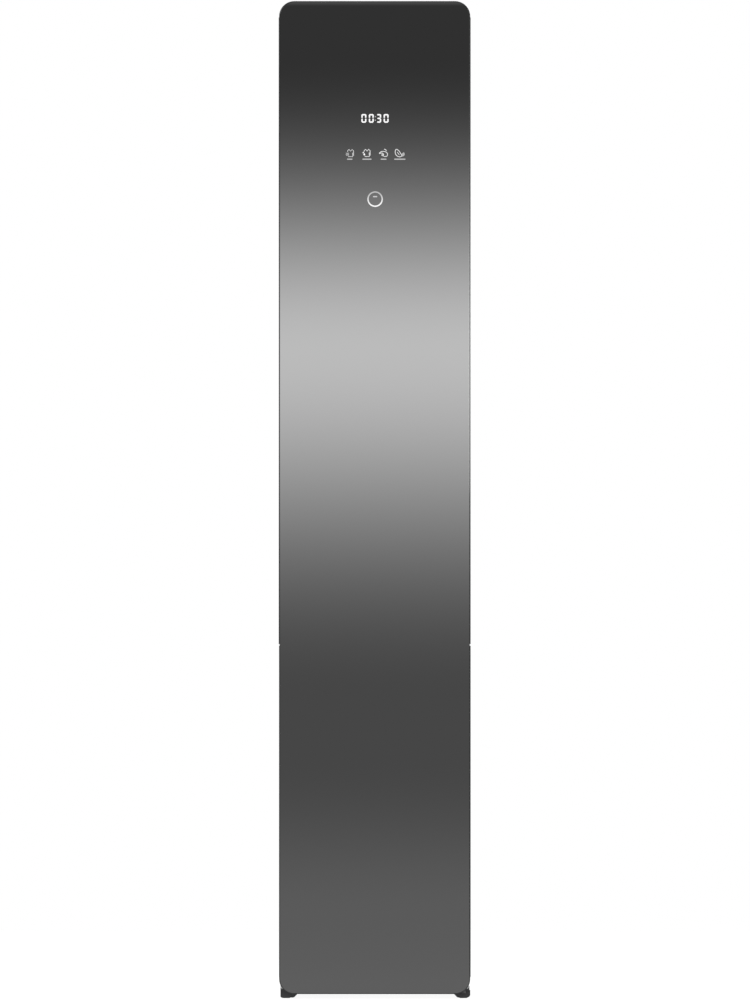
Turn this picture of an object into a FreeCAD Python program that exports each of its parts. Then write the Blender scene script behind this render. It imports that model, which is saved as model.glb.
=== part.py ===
import FreeCAD, Part
import math
import os

V = FreeCAD.Vector

# Overall sizes in millimetres; x is across, y runs from front to back, z is up
height = 1850.0
width = 356.0
depth = 585.0
halfWidth = width / 2
frontY = -depth / 2
backY = depth / 2

# Clearances
runningFit = 0.05
seatGap = 0.2
slideGap = 0.3
looseGap = 1.0

# Door
doorBottom = 8.5
doorCorner = 28.0
doorThick = 40.0
doorGap = 8.5
glassThick = 4.0
stripProud = 0.8
rimLip = 1.2
rimSetback = 0.6
rimDepth = 6.5
frameWall = 22.0
frameRise = 7.5
frameDrop = 18.0
frameCorner = 16.0
innerThick = 3.5
stripThick = 1.6
stripThin = 1.0
splitShare = 0.3546
splitGap = 3.0
rimHalf = halfWidth - stripProud
frameLow = doorBottom + frameRise
frameHigh = height - frameDrop
doorBackY = frontY + doorThick
glassBackY = frontY + glassThick
rimBackY = frontY + rimDepth
frameBackY = doorBackY - innerThick
stripBackY = frameBackY - 2.0
stripLow = frameLow + 24.0
stripHigh = frameHigh - 12.0
stripSplit = splitShare * height

# Display behind the glass
displayDrop = 186.0
displayLong = 212.0
displayHalf = 62.0
displayThick = 11.0
buttonX = 1.5
buttonRise = 30.4
buttonRadius = 18.0
displayHigh = height - displayDrop
displayLow = displayHigh - displayLong

# Door hinge line
hingeX = halfWidth - 16.0
hingeY = frontY + 16.0
pinRadius = 4.0
pinReach = 20.0
bracketThick = 4.0
bossRadius = 6.4
bracketWide = 28.0
bracketLong = 56.0

# Finger grip on the free edge of the door
gripLong = 600.0
gripDeep = 16.0
gripWall = 2.5
gripSkin = 9.5
gripCorner = 6.0
gripLow = stripSplit + 12.0
gripHigh = gripLow + gripLong

# Cabinet shell
topDrop = 16.0
sheet = 1.2
foldRadius = 8.0
foldDeep = 8.0
foldBend = 3.0
sideLow = 30.0
returnWide = 10.0
rearInset = 0.1
screwHead = 3.6
screwHigh = 1.1
cabHalf = halfWidth - 1.5
cabTop = height - topDrop
cabFrontY = doorBackY + doorGap
panelHalf = cabHalf - sheet - seatGap
panelTop = cabTop - sheet - 2 * seatGap
rearY = backY - sheet - rearInset
rearHalf = cabHalf - foldBend

# Cap over the hinge on top of the cabinet
coverHalf = halfWidth - 8.0
coverHigh = 12.0
coverShoulder = 11.0

# Base and feet
panLow = 14.0
panThick = 2.5
panRim = 40.0
panTop = panLow + panThick
ribHigh = 5.0
footInner = halfWidth - 36.5
footLift = 1.2
# outer face, then the ends of the flat sole, then the top of the inner slope
leftFoot = (halfWidth - 3.1, halfWidth - 5.4, halfWidth - 26.7, halfWidth - 36.0)
rightFoot = (halfWidth - 0.6, halfWidth - 6.7, halfWidth - 22.9, halfWidth - 32.1)
footX = halfWidth - 13.5
padRadius = 7.5
padHigh = 6.0
studRadius = 4.0
studTop = 60.0
legLong = 46.0
frontLegY = cabFrontY + 8.0
rearLegY = backY - 4.5 - legLong
footY = frontLegY + legLong / 2

# Garment chamber
machineRoom = 620.0
driveRoom = 92.0
wallRoom = 30.5
rearRoom = 60.5
collarDeep = 28.5
chamberHalf = cabHalf - wallRoom
chamberFront = cabFrontY + collarDeep
chamberBack = backY - rearRoom
chamberLow = machineRoom
chamberHigh = cabTop - driveRoom
liner = 3.0
collarThick = 6.0
collarLow = chamberLow - 22.0
rearSplit = chamberLow - 120.0
sleeve = 3.0
foamThick = 14.0
foamRear = 24.0
shelfZ = chamberLow + 80.0
shelfThick = 12.0
lugDeep = 7.0
lugLong = 24.0
ribDeep = 2.0

# Floor fittings
filterFront = chamberFront + 25.5
filterBack = filterFront + 70.0
filterDeep = 24.0
filterPitch = 16.0
aromaRight = chamberHalf - 16.0
aromaLeft = aromaRight - 50.0
filterLeft = -chamberHalf + 16.0
filterRight = aromaLeft - 20.0
nozzleRadius = 13.0

# Hanger drive
barSet = 11.75
barDrop = 52.0
barY = (chamberFront + chamberBack) / 2 + barSet
barZ = chamberHigh - barDrop
barRadius = 11.0
barHalf = chamberHalf - 21.0
grooveRadius = 9.0
hangerX = 45.0
hangerHalf = chamberBack - barY - 32.0
armX = barHalf - 30.0
armWide = 20.0
armDeep = 12.0
shake = 15.0
crankThrow = 18.0
crankPin = 5.0
yokePlay = 1.2
driveZ = chamberHigh + liner
plateZ = driveZ + 7.0
plateThick = 5.0
plateHalfX = armX + 17.0
plateHalfY = 39.7
crankZ = plateZ + plateThick + 3.0
bridgeZ = crankZ + 8.0
motorShaft = 4.0

# Lamp in the chamber ceiling
lampHalf = 46.0
lampWide = 46.0
lampFront = chamberFront + 19.5

# Air path under the chamber
ductWall = 2.0
coilDeep = 40.0
coilSpace = 26.0
coilInset = 14.0
finCount = 30
ductHalf = chamberHalf - 14.0
ductHigh = chamberLow - liner
ductLow = ductHigh - 171.0
ductFront = chamberFront + 13.5
coilHalf = ductHalf - coilInset
evaporatorY = ductFront + 110.0
condenserY = evaporatorY + coilDeep + coilSpace
ductBack = condenserY + coilDeep + coilSpace
fanZ = ductHigh - 87.0
fanFront = ductBack + 18.0
fanWide = 60.0
fanBack = fanFront + fanWide
scrollStart = 69.0
scrollEnd = 84.0
scrollWall = 2.5
tongueAngle = 75.0
inletRadius = 50.0
wheelRadius = 62.0
bladeInner = 48.0
bladeCount = 30
motorRadius = 34.0
fanShaft = 4.0

# Water tanks behind the door
tankLow = 82.4
tankHigh = 296.0
tankDeep = 152.0
tankWall = 2.5
tankCorner = 8.0
supplyLeft = -chamberHalf + 4.0
supplyRight = -6.0
drainLeft = 4.0
drainRight = chamberHalf - 16.0
supplyMid = (supplyLeft + supplyRight) / 2
drainMid = (drainLeft + drainRight) / 2
tankBackY = cabFrontY + tankDeep
holdHalf = 40.0
holdLow = 206.0
holdHigh = 258.0
holdDeep = 22.0
lidThick = 5.0
capRadius = 17.0
capHigh = 6.0
bayWall = 2.8
bayFloor = 3.0
bayBackY = tankBackY + 12.0
portZ = 110.0
portRadius = 8.0
controlLow = tankHigh + 24.0
controlHigh = ductLow - 22.0
controlHalf = ductHalf - 8.0

# Trouser press on the door
pressAxisX = chamberHalf - 28.0
pressLow = chamberLow + 198.0
pressHigh = chamberHigh - 320.0
pressHalf = pressAxisX - 8.0
pressThick = 12.0
pressGap = 4.5
pressBase = 4.0
pressLug = 16.0
pressPin = 3.0
pressPinReach = 14.0
catchLow = (pressLow + pressHigh) / 2 - 30.0
catchHigh = catchLow + 60.0

# Heavy machinery on the base
compressorX = 72.0
compressorY = backY - 107.5
compressorRadius = 60.0
compressorTall = 180.0
mountHigh = 24.0
mountX = 66.0
mountY = 50.0
boilerX = -92.0
boilerY = backY - 112.5
nozzleX = boilerX + 2.0
nozzleY = boilerY - 5.0
pumpX = -20.0
pumpY = bayBackY + 120.0
panRibs = (boilerX + 8.0, compressorX - 36.0)

# Mains inlet in the rear cover
inletX = -120.0
inletZ = 107.0
inletHalfX = 22.0
inletHalfZ = 17.0
inletDeep = 24.0


def block(x0, x1, y0, y1, z0, z1):
    return Part.makeBox(x1 - x0, y1 - y0, z1 - z0, V(x0, y0, z0))


def rod(start, direction, radius, length):
    return Part.makeCylinder(radius, length, V(*start), V(*direction))


def onPlane(plane, a, b, c):
    if plane == "xz":
        return V(a, c, b)
    if plane == "xy":
        return V(a, b, c)
    return V(c, a, b)


def slab(plane, a0, a1, b0, b1, radius, c0, c1):
    # rounded rectangle between a0..a1 and b0..b1, drawn on a plane and pulled from c0 to c1
    r = min(radius, (a1 - a0) / 2 - 0.01, (b1 - b0) / 2 - 0.01)
    k = r * (1 - math.sqrt(0.5))

    def at(a, b):
        return onPlane(plane, a, b, c0)

    edges = [
        Part.makeLine(at(a0 + r, b0), at(a1 - r, b0)),
        Part.Arc(at(a1 - r, b0), at(a1 - k, b0 + k), at(a1, b0 + r)).toShape(),
        Part.makeLine(at(a1, b0 + r), at(a1, b1 - r)),
        Part.Arc(at(a1, b1 - r), at(a1 - k, b1 - k), at(a1 - r, b1)).toShape(),
        Part.makeLine(at(a1 - r, b1), at(a0 + r, b1)),
        Part.Arc(at(a0 + r, b1), at(a0 + k, b1 - k), at(a0, b1 - r)).toShape(),
        Part.makeLine(at(a0, b1 - r), at(a0, b0 + r)),
        Part.Arc(at(a0, b0 + r), at(a0 + k, b0 + k), at(a0 + r, b0)).toShape(),
    ]
    face = Part.Face(Part.Wire(edges))
    return face.extrude(onPlane(plane, 0, 0, c1 - c0))


def profile(plane, points, c0, c1):
    corners = [onPlane(plane, a, b, c0) for a, b in points]
    corners.append(corners[0])
    face = Part.Face(Part.makePolygon(corners))
    return face.extrude(onPlane(plane, 0, 0, c1 - c0))


def outline(plane, start, steps, c0):
    # closed wire; a step is an end point for a line, or a middle and an end point for an arc
    edges = []
    last = onPlane(plane, start[0], start[1], c0)
    for step in steps:
        if isinstance(step[0], tuple):
            middle = onPlane(plane, step[0][0], step[0][1], c0)
            end = onPlane(plane, step[1][0], step[1][1], c0)
            edges.append(Part.Arc(last, middle, end).toShape())
        else:
            end = onPlane(plane, step[0], step[1], c0)
            edges.append(Part.makeLine(last, end))
        last = end
    return Part.Wire(edges)


def shaped(plane, start, steps, c0, c1):
    return Part.Face(outline(plane, start, steps, c0)).extrude(onPlane(plane, 0, 0, c1 - c0))


def turned(x, y, z, start, steps):
    # turned about an upright axis; the outline is drawn as radius and height
    shape = Part.Face(outline("xz", start, steps, 0)).revolve(V(0, 0, 0), V(0, 0, 1), 360)
    shape.translate(V(x, y, z))
    return shape


def ring(plane, a0, a1, b0, b1, radius, wall, c0, c1):
    outer = slab(plane, a0, a1, b0, b1, radius, c0, c1)
    bore = slab(plane, a0 + wall, a1 - wall, b0 + wall, b1 - wall, max(radius - wall, 0.5), c0 - 1, c1 + 1)
    return outer.cut(bore)


def bentRod(points, radius, bend):
    stops = [V(*p) for p in points]
    edges = []
    last = stops[0]
    for i in range(1, len(stops) - 1):
        before = (stops[i - 1] - stops[i]).normalize()
        after = (stops[i + 1] - stops[i]).normalize()
        half = before.getAngle(after) / 2
        start = stops[i] + before * (bend / math.tan(half))
        end = stops[i] + after * (bend / math.tan(half))
        inward = (before + after).normalize()
        middle = stops[i] + inward * (bend / math.sin(half) - bend)
        edges.append(Part.makeLine(last, start))
        edges.append(Part.Arc(start, middle, end).toShape())
        last = end
    edges.append(Part.makeLine(last, stops[-1]))
    path = Part.Wire(edges)
    section = Part.Wire(Part.makeCircle(radius, stops[0], stops[1] - stops[0]))
    return path.makePipeShell([section], True, False)


def mirrored(shape):
    return shape.mirror(V(0, 0, 0), V(1, 0, 0))


def joined(shapes):
    whole = shapes[0]
    if len(shapes) > 1:
        whole = whole.fuse(shapes[1:])
    return whole.removeSplitter()


def group(shapes):
    return Part.makeCompound(shapes)


# ---- door ----

def makeDoorGlass():
    inset = rimLip + seatGap
    half = rimHalf - inset
    low = doorBottom + inset
    high = height - inset
    pane = slab("xz", -half, half, low, high, doorCorner - inset, frontY, glassBackY)
    front = [e for e in pane.Edges if abs(e.BoundBox.YMin - frontY) < 1e-6 and e.BoundBox.YLength < 1e-6]
    return pane.makeChamfer(0.8, front)


def gripPocket(extra):
    return slab(
        "xy", -halfWidth - 20, -halfWidth + gripDeep + extra, frontY + gripSkin - extra, doorBackY + 20,
        gripCorner + extra, gripLow - extra, gripHigh + extra,
    )


def splitNotch():
    low = stripSplit - splitGap / 2
    high = stripSplit + splitGap / 2
    right = block(rimHalf - rimLip, halfWidth + 1, frontY - 1, doorBackY, low, high)
    return right.fuse(mirrored(right))


def makeDoorFrame():
    rimFront = frontY + rimSetback
    rim = slab("xz", -rimHalf, rimHalf, doorBottom, height, doorCorner, rimFront, rimBackY)
    seat = slab(
        "xz", -rimHalf + rimLip, rimHalf - rimLip, doorBottom + rimLip, height - rimLip,
        doorCorner - rimLip, rimFront - 1, glassBackY,
    )
    body = slab("xz", -rimHalf, rimHalf, frameLow, frameHigh, frameCorner, rimBackY - 0.01, frameBackY)
    outside = slab("xz", -rimHalf, rimHalf, doorBottom, height, doorCorner, rimBackY - 1, frameBackY + 1)
    frame = rim.cut(seat).fuse(body.common(outside))
    hollow = slab(
        "xz", -rimHalf + frameWall, rimHalf - frameWall, frameLow + frameWall, frameHigh - frameWall,
        6.0, glassBackY - 1, frameBackY + 1,
    )
    frame = frame.cut(hollow)
    channel = block(halfWidth - stripThick, halfWidth + 1, rimBackY, stripBackY, stripLow, stripHigh)
    for tool in (channel, mirrored(channel), splitNotch(), gripPocket(gripWall)):
        frame = frame.cut(tool)
    # bores for the hinge pins at the top and bottom
    for z in (frameLow - 1, frameHigh - pinReach - 1):
        frame = frame.cut(rod((hingeX, hingeY, z), (0, 0, 1), pinRadius + runningFit, pinReach + 2))
    return frame.removeSplitter()


def edgeStrip(z0, z1, thick):
    # flat bar with a rounded front edge that catches the light
    x0 = halfWidth - stripThick
    x1 = x0 + thick
    lead = thick * 0.6
    return shaped(
        "xy", (x0, rimBackY),
        [(x1 - lead, rimBackY), ((x1 - lead * 0.3, rimBackY + lead * 0.3), (x1, rimBackY + lead)), (x1, stripBackY), (x0, stripBackY), (x0, rimBackY)],
        z0, z1,
    )


def makeDoorStrips():
    low = stripLow + seatGap, stripSplit - splitGap / 2
    high = stripSplit + splitGap / 2, stripHigh - seatGap
    # the lower strip on the free edge is thinner, so the grip above it stands proud
    return group([edgeStrip(*low, stripThick), mirrored(edgeStrip(*low, stripThin)), edgeStrip(*high, stripThick)])


def makeDoorGrip():
    strip = mirrored(edgeStrip(stripSplit + splitGap / 2, stripHigh - seatGap, stripThick))
    lining = slab(
        "xy", -halfWidth - 20, -halfWidth + gripDeep + gripWall, frontY + gripSkin - gripWall, doorBackY + 20,
        gripCorner + gripWall, gripLow - gripWall, gripHigh + gripWall,
    )
    reach = block(-halfWidth + stripThick, 0, frontY, frameBackY, gripLow - gripWall, gripHigh + gripWall)
    return joined([strip, lining.common(reach)]).cut(gripPocket(0))


def makeDoorInner():
    low = frameLow + 2
    high = frameHigh - 2
    panel = slab("xz", -halfWidth + 4, halfWidth - 4, low, high, 12.0, frameBackY, doorBackY)
    panel = panel.cut(gripPocket(0))
    # stiffening channels pressed into the panel above and below the trouser press
    pitch = (chamberHalf - 18) / 2
    for z0, z1 in ((pressHigh + 58, frameHigh - 112), (frameLow + 44, collarLow - 38)):
        for i in range(4):
            x = (i - 1.5) * pitch
            panel = panel.cut(slab("xz", x - 8, x + 8, z0, z1, 7.9, doorBackY - 1.2, doorBackY + 1))
    return panel


def makeDoorGasket():
    half = chamberHalf + 12
    seal = ring("xz", -half, half, collarLow + 5, chamberHigh + 18, 16.0, 10.0, doorBackY, cabFrontY - slideGap)
    pleat = ring("xz", -half - 1, half + 1, collarLow + 4, chamberHigh + 19, 17.0, 4.0, doorBackY + 3.0, doorBackY + 4.6)
    return seal.cut(pleat)


def makeDisplayModule():
    half = displayHalf
    back = glassBackY + displayThick
    case = slab("xz", -half, half, displayLow, displayHigh, 6.0, glassBackY, back)
    window = slab("xz", -half + 10, half - 10, displayLow + 88, displayHigh - 10, 3.0, glassBackY - 1, glassBackY + 2)
    touch = rod((buttonX, glassBackY - 1, displayLow + buttonRise), (0, 1, 0), buttonRadius, 3)
    board = slab("xz", -half + 6, half - 6, displayLow + 6, displayHigh - 6, 2.0, back, back + 1.6)
    plug = slab("xz", -14, 14, displayLow + 18, displayLow + 28, 1.0, back + 1.6, back + 8)
    return joined([case.cut(window).cut(touch), board, plug])


def makePressBack():
    faceY = doorBackY + pressBase
    plate = slab("xz", -pressAxisX - 4, pressAxisX + 8, pressLow - 28, pressHigh + 28, 8.0, doorBackY, faceY)
    boardBack = faceY + pressGap + pressThick
    axisY = faceY + pressGap + pressThick / 2
    parts = [plate]
    for z in (pressLow - 2 - pressLug, pressHigh + 2):
        parts.append(block(pressAxisX - 6, pressAxisX + 6, doorBackY, axisY, z, z + pressLug))
        parts.append(rod((pressAxisX, axisY, z), (0, 0, 1), 6.0, pressLug))
    parts.append(rod((pressAxisX, axisY, pressLow - 3), (0, 0, 1), pressPin, pressPinReach + 3))
    parts.append(rod((pressAxisX, axisY, pressHigh - pressPinReach), (0, 0, 1), pressPin, pressPinReach + 3))
    # catch for the free edge
    parts.append(slab("yz", doorBackY, boardBack - 4, catchLow, catchHigh, 2.0, -pressHalf - 8, -pressHalf - 1.5))
    # rail that trousers hang over before the board closes
    railX = pressHalf - 20
    railZ = pressHigh + 11
    for x in (-railX, railX):
        parts.append(slab("yz", doorBackY - 0.5, doorBackY + 15, railZ - 5, railZ + 5, 4.0, x - 5, x + 5))
    parts.append(rod((-railX, doorBackY + 11, railZ), (1, 0, 0), 4.0, 2 * railX))
    return joined(parts).cut(block(-halfWidth, halfWidth, doorBackY - 5, doorBackY, pressLow - 60, pressHigh + 60))


def makePressBoard():
    faceY = doorBackY + pressBase + pressGap
    axisY = faceY + pressThick / 2
    board = slab("xz", -pressHalf, pressHalf, pressLow, pressHigh, 9.0, faceY, faceY + pressThick)
    neck = block(pressHalf - 12, pressAxisX, axisY - 3, axisY + 3, pressLow + 12, pressHigh - 12)
    knuckle = rod((pressAxisX, axisY, pressLow), (0, 0, 1), 6.0, pressHigh - pressLow)
    whole = joined([board, neck, knuckle])
    for z in (pressLow - 1, pressHigh - pressPinReach - 1):
        whole = whole.cut(rod((pressAxisX, axisY, z), (0, 0, 1), pressPin + runningFit, pressPinReach + 2))
    # padding grooves on the room side and a finger hold at the free edge
    grooveCount = 7
    pitch = (pressHigh - pressLow - 124) / (grooveCount - 1)
    for i in range(grooveCount):
        z = pressLow + 62 + i * pitch
        whole = whole.cut(slab("xz", -pressHalf + 26, pressHalf - 22, z, z + 6, 2.9, faceY + pressThick - 2, faceY + pressThick + 1))
    hold = slab("xz", -pressHalf - 8, -pressHalf + 14, catchLow, catchHigh, 6.0, faceY + 5, faceY + pressThick + 1)
    return whole.cut(hold)


# ---- cabinet shell ----

def makeSide():
    # sheet folded once at the rear edge
    inner = cabHalf - sheet
    bend = foldBend
    k = bend * (1 - math.sqrt(0.5))
    m = (bend - sheet) * (1 - math.sqrt(0.5))
    return shaped(
        "xy", (inner, cabFrontY),
        [
            (cabHalf, cabFrontY), (cabHalf, backY - bend), ((cabHalf - k, backY - k), (cabHalf - bend, backY)),
            (cabHalf - returnWide, backY), (cabHalf - returnWide, backY - sheet), (cabHalf - bend, backY - sheet),
            ((inner - m, backY - sheet - m), (inner, backY - bend)), (inner, cabFrontY),
        ],
        sideLow, cabTop - foldDeep - seatGap,
    )


def makeTopCover():
    # sheet folded down over both sides, with a joggled flange behind each side panel
    skin = ring("xz", -cabHalf, cabHalf, cabTop - 60, cabTop, foldRadius, sheet, cabFrontY, backY)
    cover = skin.common(block(-cabHalf, cabHalf, cabFrontY, backY, cabTop - foldDeep, cabTop))
    flange = block(
        cabHalf - 2 * sheet - seatGap, cabHalf - sheet - seatGap, cabFrontY + 12, backY - 6,
        cabTop - foldDeep - 12, cabTop - foldDeep + 1,
    )
    web = block(
        cabHalf - 2 * sheet - seatGap, cabHalf - sheet / 2, cabFrontY + 12, backY - 6,
        cabTop - foldDeep, cabTop - foldDeep + 1,
    )
    cover = joined([cover, flange, web, mirrored(flange), mirrored(web)])
    pitch = cabHalf - 86.5
    for x in (-pitch, 0, pitch):
        cover = cover.cut(slab("xy", x - 22, x + 22, cabFrontY + 124, backY - 72.5, 12.0, cabTop - 0.5, cabTop + 1))
    return cover


def rearSheet(z0, z1, radius):
    return slab("xz", -rearHalf, rearHalf, z0, z1, radius, rearY - sheet, rearY)


def makeRearPanel():
    panel = rearSheet(rearSplit + 1, panelTop, foldRadius)
    beadX = cabHalf - 76.5
    z0 = rearSplit + 60
    z1 = cabTop - 74
    parts = [panel]
    for x in (-beadX, 0, beadX):
        # stiffening beads pressed inwards
        parts.append(slab("xz", x - 14, x + 14, z0, z1, 13.9, rearY - sheet - 0.8, rearY - sheet))
    panel = joined(parts)
    for x in (-beadX, 0, beadX):
        panel = panel.cut(slab("xz", x - 12, x + 12, z0 + 2, z1 - 2, 11.9, rearY - 0.9, rearY + 1))
    return panel


def makeRearCover():
    panel = rearSheet(sideLow + 4, rearSplit - 1, 2.0)
    for row in range(9):
        z = rearSplit - 250 + row * 22
        for x in (-cabHalf + 36.5, -cabHalf + 156.5):
            panel = panel.cut(slab("xz", x, x + 105, z, z + 7, 3.4, rearY - 3, rearY + 1))
    inlet = slab(
        "xz", inletX - inletHalfX, inletX + inletHalfX, inletZ - inletHalfZ, inletZ + inletHalfZ, 3.0, rearY - 3, rearY + 1,
    )
    drain = rod((-inletX, rearY - 3, inletZ - 37), (0, 1, 0), 11.0, 5)
    return panel.cut(inlet).cut(drain)


def makeCollar():
    face = slab("xz", -panelHalf, panelHalf, collarLow, panelTop, foldRadius, cabFrontY, cabFrontY + collarThick)
    throat = slab(
        "xz", -chamberHalf, chamberHalf, chamberLow, chamberHigh, 14.0,
        cabFrontY + 1, chamberFront - 0.5,
    )
    opening = slab(
        "xz", -chamberHalf + sleeve, chamberHalf - sleeve, chamberLow + sleeve, chamberHigh - sleeve, 12.0,
        cabFrontY - 1, chamberFront + 1,
    )
    return joined([face, throat]).cut(opening)


def bayOpening(y0, y1):
    return slab(
        "xz", supplyLeft - looseGap - seatGap, drainRight + looseGap + seatGap,
        tankLow - 0.8, tankHigh + lidThick + capHigh + 3, 1.0, y0, y1,
    )


def makeFascia():
    plate = slab("xz", -panelHalf, panelHalf, panRim - 22, collarLow - 1, 3.0, cabFrontY, cabFrontY + 4)
    plate = plate.cut(bayOpening(cabFrontY - 1, cabFrontY + 5))
    for row in range(6):
        z = controlLow + 50 + row * 14
        plate = plate.cut(slab("xz", -ductHalf + 12, ductHalf - 12, z, z + 5, 2.4, cabFrontY - 1, cabFrontY + 5))
    return plate


def legShape(foot, low):
    # upright outer side, rounded toe and a slope on the inner side
    outer, flatOut, flatIn, inner = foot
    toe = outer - flatOut
    k = toe * (1 - math.sqrt(0.5))
    return (outer, panLow + 1), [
        (outer, low + toe), ((outer - k, low + k), (flatOut, low)), (flatIn, low), ((flatIn - 2, low + 0.7), (flatIn - 3.6, low + 2.2)),
        (inner, low + 8.0), (inner, panLow + 1), (outer, panLow + 1),
    ]


def makeBasePan():
    y0 = cabFrontY + 4.4
    y1 = rearY - sheet - 0.4
    half = cabHalf - sheet - 0.3
    floor = block(-half, half, y0, y1, panLow, panLow + panThick)
    front = block(-half, half, y0, y0 + 1.5, panLow, panRim)
    rear = block(-half, half, y1 - 1.5, y1, panLow, panRim)
    side = block(half - 1.5, half, y0, y1, panLow, panRim)
    parts = [floor, front, rear, side, mirrored(side)]
    for x in panRibs:
        parts.append(profile("xz", [(x - 8, panTop), (x + 8, panTop), (x + 5, panTop + ribHigh), (x - 5, panTop + ribHigh)], y0, y1))
    for low, y in ((footLift, frontLegY), (0.0, rearLegY)):
        parts.append(mirrored(shaped("xz", *legShape(leftFoot, low), y, y + legLong)))
        parts.append(shaped("xz", *legShape(rightFoot, low), y, y + legLong))
    pan = joined(parts)
    for x in (-footX, footX):
        pan = pan.cut(rod((x, footY, -1), (0, 0, 1), padRadius + 1.0, padHigh + 2.5))
        pan = pan.cut(rod((x, footY, 0), (0, 0, 1), studRadius + runningFit, 40))
    return pan


def makeFoot(x):
    # pad, stud and lock nut turned as one piece
    r = padRadius
    nut = panTop + slideGap
    return turned(x, footY, 0, (0, 0), [
        (r - 0.8, 0), (r, 0.8), (r, padHigh - 1.5), ((r - 0.5, padHigh - 0.5), (r - 1.5, padHigh)), (studRadius, padHigh),
        (studRadius, nut), (6.4, nut), (6.4, nut + 3.0), (studRadius, nut + 3.0), (studRadius, studTop - 1),
        (studRadius - 1, studTop), (0, studTop), (0, 0),
    ])


def hingePlate(z, pinUp, plateRight):
    # flat bracket with a forward arm that ends in the pin boss
    left = plateRight - bracketWide
    right = hingeX + 2.0
    plate = slab("xy", left, plateRight, cabFrontY - 4, cabFrontY + bracketLong, 4.0, z, z + bracketThick)
    arm = block(left, right, hingeY + bossRadius, cabFrontY + 4, z, z + bracketThick)
    reach = block(hingeX - bossRadius, right, hingeY, hingeY + 10, z, z + bracketThick)
    boss = rod((hingeX, hingeY, z), (0, 0, 1), bossRadius, bracketThick)
    parts = [plate, arm, reach, boss]
    if pinUp:
        parts.append(rod((hingeX, hingeY, z), (0, 0, 1), pinRadius, bracketThick + 2 + pinReach - 1))
        parts.append(rod((hingeX, hingeY, z), (0, 0, 1), bossRadius - 0.4, bracketThick + 1.7))
    else:
        parts.append(rod((hingeX, hingeY, z - 1 - pinReach), (0, 0, 1), pinRadius, pinReach + 2))
    return joined(parts)


def makeHinges():
    upper = hingePlate(cabTop, False, hingeX + 2.0)
    lower = hingePlate(panLow - bracketThick, True, footInner - looseGap)
    return group([upper, lower])


def makeHingeCover():
    # low cap with rounded shoulders that stays behind the door's outline
    y0 = cabFrontY + 1
    y1 = cabFrontY + bracketLong + 10
    half = coverHalf
    top = cabTop + coverHigh
    shell = slab("xz", -half, half, cabTop - 30, top, coverShoulder, y0, y1)
    inside = slab("xz", -half + 2, half - 2, cabTop - 28, top - 2, coverShoulder - 2, y0 + 2, y1 - 2)
    mouth = block(hingeX - bracketWide, half + 1, y0 - 1, y0 + 3, cabTop - 1, cabTop + bracketThick + 0.5)
    return shell.cut(inside).cut(mouth).cut(block(-cabHalf, cabHalf, y0 - 1, y1 + 1, cabTop - 40, cabTop))


def makeScrews():
    heads = []
    for x in (hingeX - 18, hingeX - 6):
        for y in (cabFrontY + 18, cabFrontY + 44):
            heads.append(rod((x, y, cabTop + bracketThick), (0, 0, 1), screwHead, 2.4))
    low, high = rearSplit + 40, cabTop - 34
    column = [sideLow + 30, (sideLow + rearSplit) / 2 + 15, rearSplit - 30]
    column += [low + (high - low) * i / 4 for i in range(5)]
    for x in (-cabHalf + 21.5, cabHalf - 21.5):
        for z in column:
            heads.append(rod((x, rearY, z), (0, 1, 0), screwHead, screwHigh))
    for x in (-cabHalf / 3, cabHalf / 3):
        for z in (sideLow + 18, rearSplit - 20, rearSplit + 20, cabTop - 22):
            heads.append(rod((x, rearY, z), (0, 1, 0), screwHead, screwHigh))
    return group(heads)


def makeInsulation():
    inner = chamberHalf + liner + 0.3
    low = chamberLow - liner
    side = block(inner, inner + foamThick, cabFrontY + collarThick + 0.4, backY - 8, low, cabTop - 18)
    rear = block(-inner + 0.3, inner - 0.3, chamberBack + liner + 0.3, chamberBack + liner + foamRear, low, chamberHigh)
    return group([side, mirrored(side), rear])


# ---- garment chamber ----

def makeChamberSide():
    x0 = chamberHalf
    wall = block(x0, x0 + liner, chamberFront, chamberBack, chamberLow, chamberHigh)
    parts = [wall]
    pitch = (chamberBack - chamberFront - 87.5) / 6
    for i in range(7):
        # upright ribs with rounded backs that keep cloth off the wall
        y = chamberFront + 45.5 + i * pitch
        parts.append(shaped("xy", (x0, y), [((x0 - ribDeep, y + 3), (x0, y + 6)), (x0, y)], chamberLow + 150, chamberHigh - 120))
    for y in (chamberFront + 85.5, barY + 20, chamberBack - 37):
        # shelf lugs with a sloped underside
        parts.append(profile("xz", [(x0, shelfZ), (x0 - lugDeep, shelfZ), (x0 - lugDeep, shelfZ - 4), (x0, shelfZ - 14)], y, y + lugLong))
    return joined(parts)


def makeChamberRear():
    half = chamberHalf + liner
    wall = block(-half, half, chamberBack, chamberBack + liner, chamberLow, chamberHigh)
    parts = [wall]
    pitch = (chamberHalf - 29) / 3
    for i in range(7):
        x = (i - 3) * pitch
        y = chamberBack
        parts.append(shaped("xy", (x - 3, y), [((x, y - ribDeep), (x + 3, y)), (x - 3, y)], chamberLow + 150, chamberHigh - 120))
    wall = joined(parts)
    pitch = (chamberHalf - 46) / 2.5
    for i in range(6):
        # return air slots near the top
        x = (i - 2.5) * pitch
        for z in (chamberHigh - 90, chamberHigh - 74):
            wall = wall.cut(slab("xz", x - 15, x + 15, z, z + 6, 2.9, chamberBack - 5, chamberBack + liner + 1))
    return wall


def armSlots(gap, z0, z1):
    reach = armWide / 2 + shake + gap
    deep = armDeep / 2 + gap
    right = block(armX - reach, armX + reach, barY - deep, barY + deep, z0, z1)
    return right.fuse(mirrored(right))


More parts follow.
